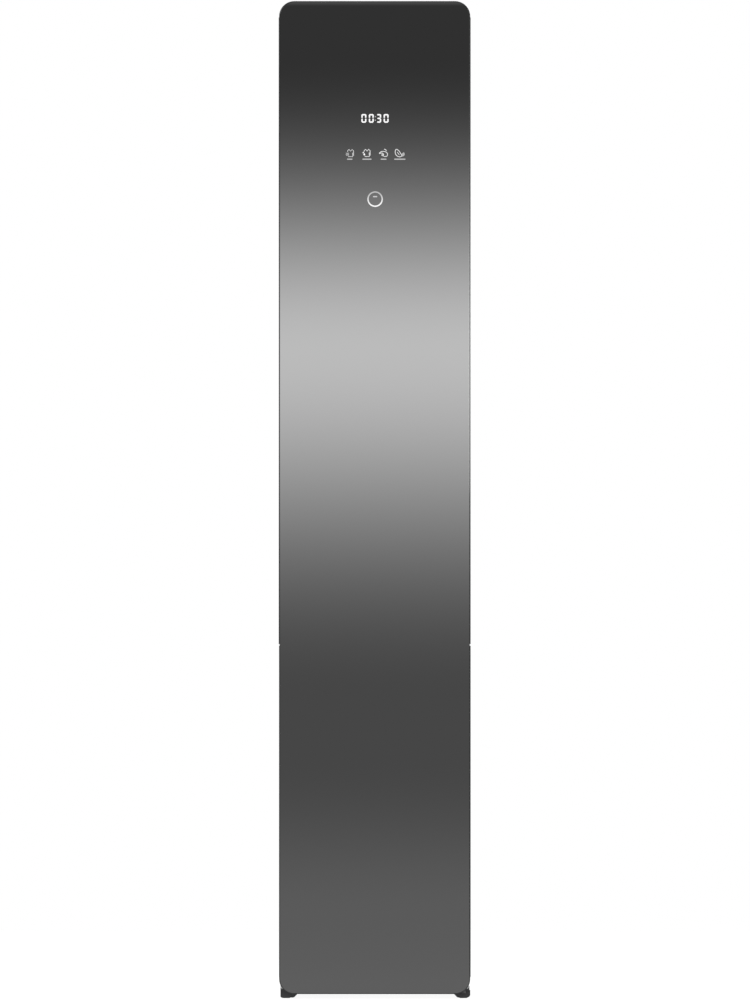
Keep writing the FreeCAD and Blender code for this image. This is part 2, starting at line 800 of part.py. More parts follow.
def makeCeiling():
    half = chamberHalf + liner
    plate = block(-half, half, chamberFront, chamberBack + liner, chamberHigh, chamberHigh + liner)
    plate = plate.cut(armSlots(3.0, chamberHigh - 1, chamberHigh + liner + 1))
    lamp = slab("xy", -lampHalf, lampHalf, lampFront, lampFront + lampWide, 8.0, chamberHigh - 1, chamberHigh + liner + 1)
    return plate.cut(lamp)


def makeLamp():
    gap = 0.5
    x = lampHalf - gap
    y0 = lampFront
    y1 = lampFront + lampWide
    lens = slab("xy", -x, x, y0 + gap, y1 - gap, 7.5, chamberHigh - 3, chamberHigh + liner)
    case = slab("xy", -x - 6.5, x + 6.5, y0 - 6, y1 + 6, 8.0, chamberHigh + liner, chamberHigh + liner + 12)
    return joined([lens, case])


def makeFloor():
    half = chamberHalf + liner
    plate = block(-half, half, chamberFront, chamberBack + liner, chamberLow - liner, chamberLow)
    z0 = chamberLow - liner - 1
    z1 = chamberLow + 1
    plate = plate.cut(slab("xy", filterLeft, filterRight, filterFront, filterBack, 6.0, z0, z1))
    plate = plate.cut(slab("xy", aromaLeft, aromaRight, filterFront, filterBack, 6.0, z0, z1))
    for row in range(5):
        # warm air grille over the fan outlet
        y = fanFront + 6 + row * 10
        plate = plate.cut(slab("xy", spoutLeft() + 4, scrollEnd - 6, y, y + 6, 2.9, z0, z1))
    plate = plate.cut(rod((nozzleX, nozzleY, z0), (0, 0, 1), nozzleRadius + slideGap, liner + 2))
    return plate


def makeNozzle():
    # stem and domed cap turned about one axis, hollow from below
    whole = turned(nozzleX, nozzleY, chamberLow, (6, -22), [
        (nozzleRadius, -22), (nozzleRadius, 0), (22, 0), (22, 3), ((17.5, 12), (8, 16)), (0, 16), (0, 7), (6, 7), (6, -22),
    ])
    for i in range(6):
        slot = block(8, 30, -1.5, 1.5, chamberLow + 6, chamberLow + 10)
        slot.rotate(V(0, 0, 0), V(0, 0, 1), i * 60)
        slot.translate(V(nozzleX, nozzleY, 0))
        whole = whole.cut(slot)
    return whole


def makeShelf():
    half = chamberHalf - 2.5
    y0 = chamberFront + 65.5
    y1 = chamberBack - 6
    plate = slab("xy", -half, half, y0, y1, 10.0, shelfZ, shelfZ + shelfThick)
    dish = slab("xy", -half + 6, half - 6, y0 + 6, y1 - 6, 6.0, shelfZ + 4, shelfZ + shelfThick + 1)
    plate = plate.cut(dish)
    rows = 9
    pitch = (y1 - y0 - 88) / (rows - 1)
    for row in range(rows):
        y = y0 + 28 + row * pitch
        slot = slab("xy", 8, half - 23.5, y, y + 10, 4.9, shelfZ - 1, shelfZ + 5)
        plate = plate.cut(slot).cut(mirrored(slot))
    return plate


def makeFilter():
    z = chamberLow
    flange = slab("xy", filterLeft - 4, filterRight + 4, filterFront - 4, filterBack + 4, 8.0, z, z + 3)
    body = slab(
        "xy", filterLeft + looseGap, filterRight - looseGap, filterFront + looseGap, filterBack - looseGap,
        5.0, z - filterDeep, z,
    )
    tray = joined([flange, body])
    dish = slab(
        "xy", filterLeft + 4, filterRight - 4, filterFront + 4, filterBack - 4,
        3.0, z - filterDeep + 2, z + 4,
    )
    tray = tray.cut(dish)
    for row in range(int((filterRight - filterLeft - 14) / filterPitch)):
        x = filterLeft + 9 + row * filterPitch
        tray = tray.cut(slab("xy", x, x + 10, filterFront + 7, filterBack - 7, 3.0, z - filterDeep - 1, z - filterDeep + 3))
    middle = (filterLeft + filterRight) / 2
    bridge = block(middle - 4, middle + 4, filterFront + 3, filterBack - 3, z - 4, z + 3)
    y = (filterFront + filterBack) / 2
    tab = slab("xz", middle - 24, middle + 24, z - 2, z + 18, 8.0, y - 3, y + 3)
    return joined([tray, bridge, tab])


def makeAroma():
    z = chamberLow
    flange = slab("xy", aromaLeft - 3, aromaRight + 3, filterFront - 4, filterBack + 4, 8.0, z, z + 3)
    body = slab(
        "xy", aromaLeft + looseGap, aromaRight - looseGap, filterFront + looseGap, filterBack - looseGap,
        5.0, z - filterDeep, z,
    )
    case = joined([flange, body])
    for row in range(5):
        y = filterFront + 10 + row * 11
        case = case.cut(slab("xy", aromaLeft + 8, aromaRight - 8, y, y + 5, 2.4, z - filterDeep + 3, z + 4))
    middle = (aromaLeft + aromaRight) / 2
    tab = slab("xz", middle - 10, middle + 10, z + 1, z + 16, 6.0, filterBack - 8, filterBack - 3)
    return joined([case, tab])


# ---- hanger drive ----

def makeDriveFrame():
    half = chamberHalf - 10
    base = slab("xy", -half, half, barY - 50, barY + 50, 8.0, driveZ, driveZ + 3)
    base = base.cut(armSlots(3.0, driveZ - 1, driveZ + 4))
    # each rail rises to a post in its middle, cut as one plate
    y1 = barY - plateHalfY - slideGap
    y0 = y1 - 6
    rail = chamberHalf - 18
    near = profile(
        "xz",
        [(-rail, driveZ + 3), (rail, driveZ + 3), (rail, crankZ - 4), (rail - 4, crankZ), (52, crankZ), (44, bridgeZ),
         (-44, bridgeZ), (-52, crankZ), (-rail + 4, crankZ), (-rail, crankZ - 4)],
        y0, y1,
    )
    far = near.mirror(V(0, barY, 0), V(0, 1, 0))
    bridge = slab("xy", -44, 44, y0, 2 * barY - y0, 4.0, bridgeZ, bridgeZ + 4)
    frame = joined([base, near, far, bridge])
    return frame.cut(rod((0, barY, bridgeZ - 1), (0, 0, 1), 7.0, 6))


def makeDriveMotor():
    z = bridgeZ + 4
    can = turned(0, barY, z, (0, 0), [(24, 0), (24, 33), ((22.5, 36.5), (19, 38)), (0, 38), (0, 0)])
    gear = slab("xy", -30, 30, barY - 30, barY + 30, 8.0, z, z + 14)
    plug = block(18, 34, barY - 8, barY + 8, z + 16, z + 28)
    whole = joined([can, gear, plug])
    return whole.cut(rod((0, barY, z - 1), (0, 0, 1), motorShaft + runningFit, 14))


def makeCrank():
    # disc with the pin on one side and a lighter rim on the other
    disc = rod((0, barY, crankZ), (0, 0, 1), 25.0, 5)
    for angle in (38, 90, 142):
        a = math.radians(angle)
        disc = disc.cut(rod((15 * math.cos(a), barY + 15 * math.sin(a), crankZ - 1), (0, 0, 1), 4.5, 7))
    shaft = rod((0, barY, crankZ), (0, 0, 1), motorShaft, bridgeZ + 4 + 10 - crankZ)
    pin = rod((0, barY - crankThrow, plateZ - 1), (0, 0, 1), crankPin, crankZ - plateZ + 2)
    return joined([disc, shaft, pin])


def makeCarriage():
    plate = slab("xy", -plateHalfX, plateHalfX, barY - plateHalfY, barY + plateHalfY, 6.0, plateZ, plateZ + plateThick)
    half = crankPin + yokePlay
    reach = crankThrow + crankPin + 2
    plate = plate.cut(slab("xy", -half, half, barY - reach, barY + reach, half - 0.05, plateZ - 1, plateZ + plateThick + 1))
    parts = [plate]
    for x in (-plateHalfX, plateHalfX - 20):
        for y in (barY - plateHalfY + 1, barY + plateHalfY - 11):
            parts.append(block(x, x + 20, y, y + 10, driveZ + 3 + slideGap, plateZ))
    for side in (-1, 1):
        # the plate is lightened between the yoke and each arm
        x0, x1 = sorted((side * 24, side * (armX - armWide)))
        parts[0] = parts[0].cut(slab("xy", x0, x1, barY - 22, barY + 22, 8.0, plateZ - 1, plateZ + plateThick + 1))
    for x in (-armX, armX):
        parts.append(block(x - armWide / 2, x + armWide / 2, barY - armDeep / 2, barY + armDeep / 2, barZ, plateZ))
        parts.append(rod((x - armWide / 2, barY, barZ), (1, 0, 0), barRadius + 4, armWide))
    return joined(parts).cut(rod((-barHalf, barY, barZ), (1, 0, 0), barRadius, 2 * barHalf))


def makeBar():
    bar = rod((-barHalf, barY, barZ), (1, 0, 0), barRadius, 2 * barHalf)
    ends = [e for e in bar.Edges if e.BoundBox.XLength < 0.01]
    bar = bar.makeChamfer(1.5, ends)
    for x in (-hangerX, hangerX):
        groove = rod((x - 4.5, barY, barZ), (1, 0, 0), barRadius + 1, 9)
        core = rod((x - 5.5, barY, barZ), (1, 0, 0), grooveRadius, 11)
        bar = bar.cut(groove.cut(core))
    return bar


def makeHanger(x):
    inner = grooveRadius + 0.08
    outer = inner + 6
    reach = hangerHalf

    def bent(start, steps, half):
        moved = []
        for step in steps:
            if isinstance(step[0], tuple):
                moved.append(tuple((barY + a, barZ + b) for a, b in step))
            else:
                moved.append((barY + step[0], barZ + step[1]))
        return shaped("yz", (barY + start[0], barZ + start[1]), moved, x - half, x + half)

    hook = rod((x - 3, barY, barZ), (1, 0, 0), outer, 6).cut(rod((x - 4, barY, barZ), (1, 0, 0), inner, 8))
    # the hook is open towards the back and below
    hook = hook.cut(profile("yz", [(barY, barZ), (barY, barZ - 30), (barY + 40, barZ - 30), (barY + 40, barZ - 4)], x - 8, x + 8))
    neck = bent((-outer, 0), [
        (-inner, 0), ((-inner + 3, -11), (0, -20)), ((4, -26), (5, -36)), (5, -52), (-5, -52), (-5, -38),
        ((-8, -26), (-13.2, -16)), ((-outer + 0.5, -8), (-outer, 0)),
    ], 3)
    parts = [hook, neck]
    for side in (-1, 1):
        def s(a, b):
            return (side * a, b)

        # shoulder with an arched upper edge and a rounded tip
        arm = bent(s(0, -40), [
            (s(reach - 120, -46), s(reach - 12, -80)), (s(reach, -89), s(reach - 4, -101)), s(reach - 14, -102),
            (s(reach - 90, -74), s(0, -56)), s(0, -40),
        ], 6)
        pad = bent(s(reach - 62, -60.5), [
            (s(reach - 34, -68), s(reach - 12, -80)), (s(reach, -89), s(reach - 4, -101)), s(reach - 14, -102),
            (s(reach - 34, -92), s(reach - 62, -83)), s(reach - 62, -60.5),
        ], 15)
        drop = bent(s(reach - 40, -86), [
            s(reach - 30, -88), s(reach - 30, -122), (s(reach - 31.5, -125.5), s(reach - 35, -127)),
            s(reach - 40, -127), s(reach - 40, -86),
        ], 4)
        parts += [arm, pad, drop]
    parts.append(slab("yz", barY - reach + 34, barY + reach - 34, barZ - 127, barZ - 118, 3.0, x - 4, x + 4))
    return joined(parts)


# ---- air path and heat pump ----

def makeDuct():
    outer = block(-ductHalf, ductHalf, ductFront, ductBack, ductLow, ductHigh)
    inner = block(
        -ductHalf + ductWall, ductHalf - ductWall, ductFront + ductWall, ductBack - ductWall,
        ductLow + ductWall, ductHigh + 1,
    )
    duct = outer.cut(inner)
    throat = rod((0, ductBack - 1, fanZ), (0, 1, 0), inletRadius, fanFront - ductBack + 1)
    bore = rod((0, ductBack - 5, fanZ), (0, 1, 0), inletRadius - 2.5, fanFront - ductBack + 9)
    y = (condenserY + evaporatorY + coilDeep) / 2
    rail = block(-ductHalf + 8, ductHalf - 8, y - 2, y + 2, ductLow - 6, ductLow)
    return joined([duct, throat, rail]).cut(bore)


def makeCoil(y):
    z0 = ductLow + ductWall
    z1 = ductHigh - 6
    body = block(-coilHalf, coilHalf, y, y + coilDeep, z0, z1)
    pitch = 2 * coilHalf / finCount
    for i in range(finCount):
        x = -coilHalf + i * pitch + 1.2
        body = body.cut(block(x, x + pitch - 2.4, y - 1, y + coilDeep / 2 - 2, z0 + 3, z1 - 3))
        body = body.cut(block(x, x + pitch - 2.4, y + coilDeep / 2 + 2, y + coilDeep + 1, z0 + 3, z1 - 3))
    parts = [body]
    middle = y + coilDeep / 2
    for i in range(4):
        # return bends at the ends of the tubes
        z = z0 + 20 + i * 36
        outer = shaped("xz", (coilHalf - 1, z - 10), [(coilHalf, z - 10), ((coilHalf + 10, z), (coilHalf, z + 10)), (coilHalf - 1, z + 10), (coilHalf - 1, z - 10)], middle - 3, middle + 3)
        inner = shaped("xz", (coilHalf, z - 4), [((coilHalf + 4, z), (coilHalf, z + 4)), (coilHalf, z - 4)], middle - 4, middle + 4)
        parts.append(outer.cut(inner))
    return joined(parts)


def spoutLeft():
    # the outlet's inner wall rises from the tongue of the scroll
    return scrollStart * math.cos(math.radians(tongueAngle))


def scrollShape(inset, y0, y1, top):
    # a spiral of arcs that widens from the tongue round to the outlet
    arcs = 5
    start = scrollStart - inset
    grow = scrollEnd - scrollStart
    sweep = 360 - tongueAngle

    def at(part):
        radius = start + grow * part
        angle = math.radians(tongueAngle + sweep * part)
        return (radius * math.cos(angle), fanZ + radius * math.sin(angle))

    left = spoutLeft() + inset
    first = (left, fanZ + math.sqrt(start ** 2 - left ** 2))
    steps = [(at(0.5 / arcs), at(1 / arcs))]
    steps += [(at((i + 0.5) / arcs), at((i + 1) / arcs)) for i in range(1, arcs)]
    steps += [(start + grow, top), (left, top), first]
    return shaped("xz", first, steps, y0, y1)


def makeScroll():
    y0 = fanFront
    y1 = fanBack
    shell = scrollShape(0, y0, y1, ductHigh)
    shell = shell.cut(scrollShape(scrollWall, y0 + scrollWall, y1 - scrollWall, ductHigh + 1))
    # flared mouth round the inlet
    shell = shell.cut(rod((0, y0 - 1, fanZ), (0, 1, 0), inletRadius + 1, scrollWall + 2))
    # seams where the two halves clip together
    for z in (fanZ - 30, fanZ + 30):
        lug = slab("yz", (y0 + y1) / 2 - 8, (y0 + y1) / 2 + 8, z - 6, z + 6, 3.0, -scrollStart - 7, -scrollStart + 2)
        shell = shell.fuse(lug.cut(scrollShape(1.0, y0, y1, ductHigh)))
    return shell.cut(rod((0, y1 - 4, fanZ), (0, 1, 0), 12.0, 6)).removeSplitter()


def makeImpeller():
    y0 = fanFront + scrollWall + 4
    y1 = fanBack - scrollWall - 4
    back = rod((0, y1 - 3, fanZ), (0, 1, 0), wheelRadius, 3)
    hub = rod((0, y1 - 20, fanZ), (0, 1, 0), 11.0, 20)
    front = rod((0, y0, fanZ), (0, 1, 0), wheelRadius, 3).cut(rod((0, y0 - 1, fanZ), (0, 1, 0), wheelRadius - 7, 5))
    parts = [back, hub, front]
    r = bladeInner
    tip = wheelRadius - bladeInner
    for i in range(bladeCount):
        # forward-curved blade between two arcs
        blade = shaped(
            "xz", (r, -0.7),
            [
                ((r + tip * 0.57, 0.5), (r + tip * 0.94, 5.6)), (r + tip * 0.87, 6.6),
                ((r + tip * 0.50, 1.8), (r, 0.7)), (r, -0.7),
            ],
            y0 + 1, y1 - 1,
        )
        blade.rotate(V(0, 0, 0), V(0, 1, 0), i * 360 / bladeCount)
        blade.translate(V(0, 0, fanZ))
        parts.append(blade)
    wheel = joined(parts)
    return wheel.cut(rod((0, y0 - 2, fanZ), (0, 1, 0), fanShaft + runningFit, y1 - y0 + 4))


def makeFanMotor():
    y = fanBack
    can = rod((0, y, fanZ), (0, 1, 0), motorRadius, 40)
    flange = rod((0, y, fanZ), (0, 1, 0), 44.0, 3)
    shaft = rod((0, fanFront + scrollWall + 20, fanZ), (0, 1, 0), fanShaft, y - fanFront)
    plug = block(-10, 10, y + 14, y + 32, fanZ - motorRadius - 8, fanZ - motorRadius + 4)
    return joined([can, flange, shaft, plug])


def makeCompressor():
    z0 = panTop + mountHigh
    x, y, r = compressorX, compressorY, compressorRadius
    tall = compressorTall
    foot = slab("xy", x - mountX - 12, x + mountX + 12, y - mountY - 12, y + mountY + 12, 14.0, z0, z0 + 3)
    # drawn shell with domed ends and the weld seam round its waist
    shell = turned(x, y, z0 + 3, (0, 0), [
        (r - 24, 0), ((r - 7, 7), (r, 24)), (r, 86), (r + 1.5, 88), (r + 1.5, 96), (r, 98), (r, tall - 28),
        ((r - 8.2, tall - 8.2), (r - 28, tall)), (0, tall), (0, 0),
    ])
    box = slab("xz", x - 24, x + 24, z0 + 60, z0 + 116, 5.0, y - r - 14, y - 40)
    # suction accumulator beside the shell
    drum = turned(x - mountX - 12, y - 20, z0 + 30, (0, 0), [
        (8, 0), ((13, 2), (15, 7)), (15, 86), ((12.1, 93.1), (5, 96)), (0, 96), (0, 0),
    ])
    clip = block(x - mountX - 12, x - 40, y - 24, y - 16, z0 + 70, z0 + 82)
    whole = joined([foot, shell, drum, box, clip])
    for dx in (-mountX, mountX):
        for dy in (-mountY, mountY):
            whole = whole.cut(rod((x + dx, y + dy, z0 - 1), (0, 0, 1), 4.5, 5))
    return whole


def makeMounts():
    mounts = []
    top = mountHigh
    for dx in (-mountX, mountX):
        for dy in (-mountY, mountY):
            # waisted rubber block with its bolt
            mounts.append(turned(compressorX + dx, compressorY + dy, panTop, (0, 0), [
                (11, 0), (11, 8), ((8, 12), (11, 16)), (11, top), (3, top), (3, top + 8), (0, top + 8), (0, 0),
            ]))
    return group(mounts)


def makePipes():
    z0 = panTop + mountHigh
    top = z0 + 3 + compressorTall
    y = evaporatorY + coilDeep / 2
    drumX = compressorX - mountX - 12
    level = ductLow - 46
    suction = bentRod(
        [
            (drumX, compressorY - 20, z0 + 126), (drumX, compressorY - 20, level),
            (-40, compressorY - 95, level), (-40, y, level), (-40, y, ductLow),
        ],
        4.0, 16.0,
    )
    yc = condenserY + coilDeep / 2
    x = compressorX + 20
    discharge = bentRod(
        [(x, compressorY, top), (x, compressorY, level - 60), (x, yc, level - 60), (x, yc, ductLow)],
        3.2, 16.0,
    )
    liquid = bentRod([(20, yc, ductLow), (20, yc, ductLow - 26), (20, y, ductLow - 26), (20, y, ductLow)], 2.6, 10.0)
    return group([suction, discharge, liquid])


def makeBoiler():
    z0 = panTop + ribHigh + 0.5
    tank = slab("xy", boilerX - 56, boilerX + 56, boilerY - 46, boilerY + 46, 14.0, z0 + 6, z0 + 112)
    flange = slab("xy", boilerX - 62, boilerX + 62, boilerY - 52, boilerY + 52, 16.0, z0 + 84, z0 + 92)
    outlet = rod((nozzleX, nozzleY, z0 + 112), (0, 0, 1), 9.0, 16)
    inlet = rod((boilerX + 30, boilerY - 46 - 14, z0 + 40), (0, 1, 0), 6.0, 16)
    parts = [tank, flange, outlet, inlet]
    for x in (boilerX - 40, boilerX + 34):
        for y in (boilerY - 30, boilerY + 24):
            parts.append(block(x, x + 8, y, y + 8, panTop, z0 + 8))
    for x in (boilerX - 30, boilerX - 14):
        parts.append(rod((x, boilerY - 54, z0 + 24), (0, 1, 0), 3.0, 10))
    return joined(parts)


def makePump():
    z0 = panTop
    body = turned(pumpX, pumpY, z0, (0, 0), [
        (26, 0), (26, 22), ((24.8, 24.8), (22, 26)), (19, 26), (19, 56), ((17.2, 60.2), (13, 62)), (0, 62), (0, 0),
    ])
    parts = [body]
    for i in range(6):
        # cooling fins round the motor
        fin = block(17, 22.5, -1.2, 1.2, 26, 54)
        fin.rotate(V(0, 0, 0), V(0, 0, 1), i * 60)
        fin.translate(V(pumpX, pumpY, z0))
        parts.append(fin)
    parts.append(rod((pumpX + 14, pumpY - 40, z0 + 13), (0, 1, 0), 6.5, 20))
    return joined(parts)


def makeHoses():
    z0 = panTop
    steamLow = z0 + 133.5
    steam = rod((nozzleX, nozzleY, steamLow), (0, 0, 1), 9.0, chamberLow - 22 - steamLow)
    near = bayBackY + 12
    feed = bentRod(
        [
            (supplyMid, near, portZ), (supplyMid, near + 48, portZ), (boilerX + 30, near + 48, z0 + 45.5),
            (boilerX + 30, boilerY - 60, z0 + 45.5),
        ],
        6.0, 18.0,
    )
    port = pumpX + 14
    drain = bentRod(
        [
            (port, pumpY - 40, z0 + 13), (port, pumpY - 72, z0 + 13), (drainMid, pumpY - 72, z0 + 13),
            (drainMid, pumpY - 72, portZ), (drainMid, near, portZ),
        ],
        6.0, 14.0,
    )
    return group([steam, feed, drain])


def makeControlBox():
    y0 = cabFrontY + 12
    half = controlHalf
    case = slab("xz", -half, half, controlLow, controlHigh, 5.0, y0, y0 + 46)
    lid = slab("xz", -half - 3, half + 3, controlLow - 3, controlHigh + 3, 6.0, y0 + 46, y0 + 50)
    parts = [case, lid]
    for x in (-90, -50, 30, 70):
        parts.append(slab("xz", x, x + 22, controlLow + 10, controlLow + 22, 1.5, y0 + 50, y0 + 58))
    for x in (-half + 21, half - 21):
        parts.append(block(x - 7, x + 7, y0 + 10, y0 + 40, controlHigh, ductLow))
    return joined(parts)


def makeBay():
    x0 = supplyLeft - looseGap - seatGap
    x1 = drainRight + looseGap + seatGap
    y0 = cabFrontY + 4.4
    z0 = tankLow - slideGap - 0.1
    top = tankHigh - 6
    floor = block(x0 - bayWall, x1 + bayWall, y0, bayBackY, z0 - bayFloor, z0)
    left = block(x0 - bayWall, x0, y0, bayBackY, z0 - bayFloor, top)
    right = block(x1, x1 + bayWall, y0, bayBackY, z0 - bayFloor, top)
    middle = (supplyRight + drainLeft) / 2
    divider = block(middle - 3, middle + 3, y0, bayBackY, z0 - bayFloor, top)
    rear = block(x0 - bayWall, x1 + bayWall, bayBackY - bayWall, bayBackY, z0 - bayFloor, top)
    parts = [floor, left, right, divider, rear]
    for x in (supplyMid, drainMid):
        parts.append(rod((x, bayBackY - 1, portZ), (0, 1, 0), portRadius, 13))
    for x in (supplyLeft + 32, drainRight - 30):
        # legs that stand on the base pan
        for y in (cabFrontY + 24, bayBackY - 30):
            parts.append(block(x, x + 14, y, y + 14, panTop + seatGap, z0 - bayFloor + 1))
    return joined(parts)


def makeTank(x0, x1):
    tank = slab("xy", x0, x1, cabFrontY, tankBackY, tankCorner, tankLow, tankHigh)
    inside = slab(
        "xy", x0 + tankWall, x1 - tankWall, cabFrontY + tankWall, tankBackY - tankWall,
        tankCorner - tankWall, tankLow + tankWall, tankHigh + 1,
    )
    tank = tank.cut(inside)
    middle = (x0 + x1) / 2
    w = tankWall
    wall = slab("xz", middle - holdHalf, middle + holdHalf, holdLow, holdHigh, 10.0, cabFrontY + 1, cabFrontY + holdDeep)
    pocket = slab(
        "xz", middle - holdHalf + w, middle + holdHalf - w, holdLow + w, holdHigh - w, 8.0,
        cabFrontY - 1, cabFrontY + holdDeep - w,
    )
    return joined([tank, wall]).cut(pocket)


def makeLid(x0, x1, capX, capY):
    top = slab("xy", x0, x1, cabFrontY, tankBackY, tankCorner, tankHigh, tankHigh + lidThick)
    plug = ring(
        "xy", x0 + tankWall + 0.2, x1 - tankWall - 0.2, cabFrontY + tankWall + 0.2, tankBackY - tankWall - 0.2,
        tankCorner - tankWall, 2.0, tankHigh - 5, tankHigh,
    )
    cap = rod((capX, capY, tankHigh + lidThick), (0, 0, 1), capRadius, capHigh)
    parts = [top, plug, cap]
    for i in range(12):
        rib = block(capRadius - 1, capRadius + 1, -1.2, 1.2, tankHigh + lidThick, tankHigh + lidThick + capHigh)
        rib.rotate(V(0, 0, 0), V(0, 0, 1), i * 30)
        rib.translate(V(capX, capY, 0))
        parts.append(rib)
    return joined(parts)


def makeInlet():
    hx, hz = inletHalfX, inletHalfZ
    x, z = inletX, inletZ
    face = slab("xz", x - hx - 4, x + hx + 4, z - hz - 4, z + hz + 4, 4.0, rearY, rearY + sheet)
    body = slab("xz", x - hx + 0.4, x + hx - 0.4, z - hz + 0.4, z + hz - 0.4, 3.0, rearY - inletDeep, rearY)
    socket = slab("xz", x - hx + 8, x + hx - 8, z - hz + 7, z + hz - 7, 4.0, rearY - inletDeep + 4, rearY + 2)
    whole = joined([face, body]).cut(socket)
    pins = [whole]
    for dx, dz in ((-7, -3), (7, -3), (0, 3)):
        pins.append(block(x + dx - 1, x + dx + 1, rearY - inletDeep + 3, rearY - 6, z + dz - 2.5, z + dz + 2.5))
    return joined(pins)


def export(name, shape):
    solids = shape.Solids
    volume = sum(s.Volume for s in solids)
    valid = all(s.isValid() for s in solids)
    box = shape.BoundBox
    print(
        name, len(solids), round(volume / 1000, 1), valid,
        [round(v, 1) for v in (box.XMin, box.XMax, box.YMin, box.YMax, box.ZMin, box.ZMax)],
    )
    shape.exportStep("parts/" + name + ".step")


os.makedirs("parts", exist_ok=True)
side = makeSide()
chamberSide = makeChamberSide()
export("door_glass", makeDoorGlass())
export("door_frame", makeDoorFrame())
export("door_strips", makeDoorStrips())
export("door_grip", makeDoorGrip())
export("door_inner", makeDoorInner())
export("door_gasket", makeDoorGasket())
export("display_module", makeDisplayModule())
export("press_back", makePressBack())
export("press_board", makePressBoard())
export("side_left", mirrored(side))
export("side_right", side)
export("top_cover", makeTopCover())
export("rear_panel", makeRearPanel())
export("rear_cover", makeRearCover())
export("front_collar", makeCollar())
export("lower_fascia", makeFascia())
export("base_pan", makeBasePan())
export("foot_left", makeFoot(-footX))
export("foot_right", makeFoot(footX))
export("door_hinges", makeHinges())
export("hinge_cover", makeHingeCover())
export("body_screws", makeScrews())
export("insulation", makeInsulation())
export("chamber_left", mirrored(chamberSide))
export("chamber_right", chamberSide)
export("chamber_rear", makeChamberRear())
export("chamber_ceiling", makeCeiling())
export("chamber_lamp", makeLamp())
export("chamber_floor", makeFloor())
export("steam_nozzle", makeNozzle())
export("garment_shelf", makeShelf())
export("lint_filter", makeFilter())
export("aroma_case", makeAroma())
export("drive_frame", makeDriveFrame())
export("drive_motor", makeDriveMotor())
export("crank_disc", makeCrank())
export("hanger_carriage", makeCarriage())
export("hanger_bar", makeBar())
export("hanger_left", makeHanger(-hangerX))
export("hanger_right", makeHanger(hangerX))
export("air_duct", makeDuct())
export("evaporator", makeCoil(evaporatorY))
export("condenser", makeCoil(condenserY))
export("fan_scroll", makeScroll())
export("fan_impeller", makeImpeller())
export("fan_motor", makeFanMotor())
export("compressor", makeCompressor())
export("compressor_mounts", makeMounts())
export("refrigerant_pipes", makePipes())
export("steam_generator", makeBoiler())
export("drain_pump", makePump())
export("water_hoses", makeHoses())
export("control_box", makeControlBox())
export("tank_bay", makeBay())
export("supply_tank", makeTank(supplyLeft, supplyRight))
export("supply_lid", makeLid(supplyLeft, supplyRight, supplyMid, cabFrontY + 39))
export("drain_tank", makeTank(drainLeft, drainRight))
export("drain_lid", makeLid(drainLeft, drainRight, drainMid, cabFrontY + 39))
export("power_inlet", makeInlet())
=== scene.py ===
import math

import bmesh
import bpy
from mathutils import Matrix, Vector


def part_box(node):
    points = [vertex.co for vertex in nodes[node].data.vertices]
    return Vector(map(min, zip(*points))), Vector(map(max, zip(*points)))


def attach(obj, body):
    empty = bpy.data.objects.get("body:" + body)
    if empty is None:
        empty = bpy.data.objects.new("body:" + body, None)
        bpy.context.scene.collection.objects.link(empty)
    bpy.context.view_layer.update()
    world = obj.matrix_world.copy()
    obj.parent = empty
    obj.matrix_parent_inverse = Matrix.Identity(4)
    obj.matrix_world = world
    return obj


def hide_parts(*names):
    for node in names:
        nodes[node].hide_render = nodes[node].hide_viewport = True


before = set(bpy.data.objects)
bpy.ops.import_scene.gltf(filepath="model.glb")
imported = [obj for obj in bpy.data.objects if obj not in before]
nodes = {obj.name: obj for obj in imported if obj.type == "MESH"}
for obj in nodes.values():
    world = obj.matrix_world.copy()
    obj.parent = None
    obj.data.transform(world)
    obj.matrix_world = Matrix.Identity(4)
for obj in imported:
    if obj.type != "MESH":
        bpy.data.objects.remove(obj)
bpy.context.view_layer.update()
print("frame loaded:", len(nodes), "nodes")


# shader helpers

class Signal:
    # wraps a node output so that shader sums read like ordinary ones
    def __init__(self, paint, output):
        self.paint = paint
        self.output = output

    def __add__(self, other):
        return self.paint.math("ADD", self, other)

    def __radd__(self, other):
        return self.paint.math("ADD", other, self)

    def __sub__(self, other):
        return self.paint.math("SUBTRACT", self, other)

    def __rsub__(self, other):
        return self.paint.math("SUBTRACT", other, self)

    def __mul__(self, other):
        return self.paint.math("MULTIPLY", self, other)

    def __rmul__(self, other):
        return self.paint.math("MULTIPLY", other, self)

    def __truediv__(self, other):
        return self.paint.math("DIVIDE", self, other)

    def __rtruediv__(self, other):
        return self.paint.math("DIVIDE", other, self)

    def __gt__(self, other):
        return self.paint.math("GREATER_THAN", self, other)

    def __lt__(self, other):
        return self.paint.math("LESS_THAN", self, other)


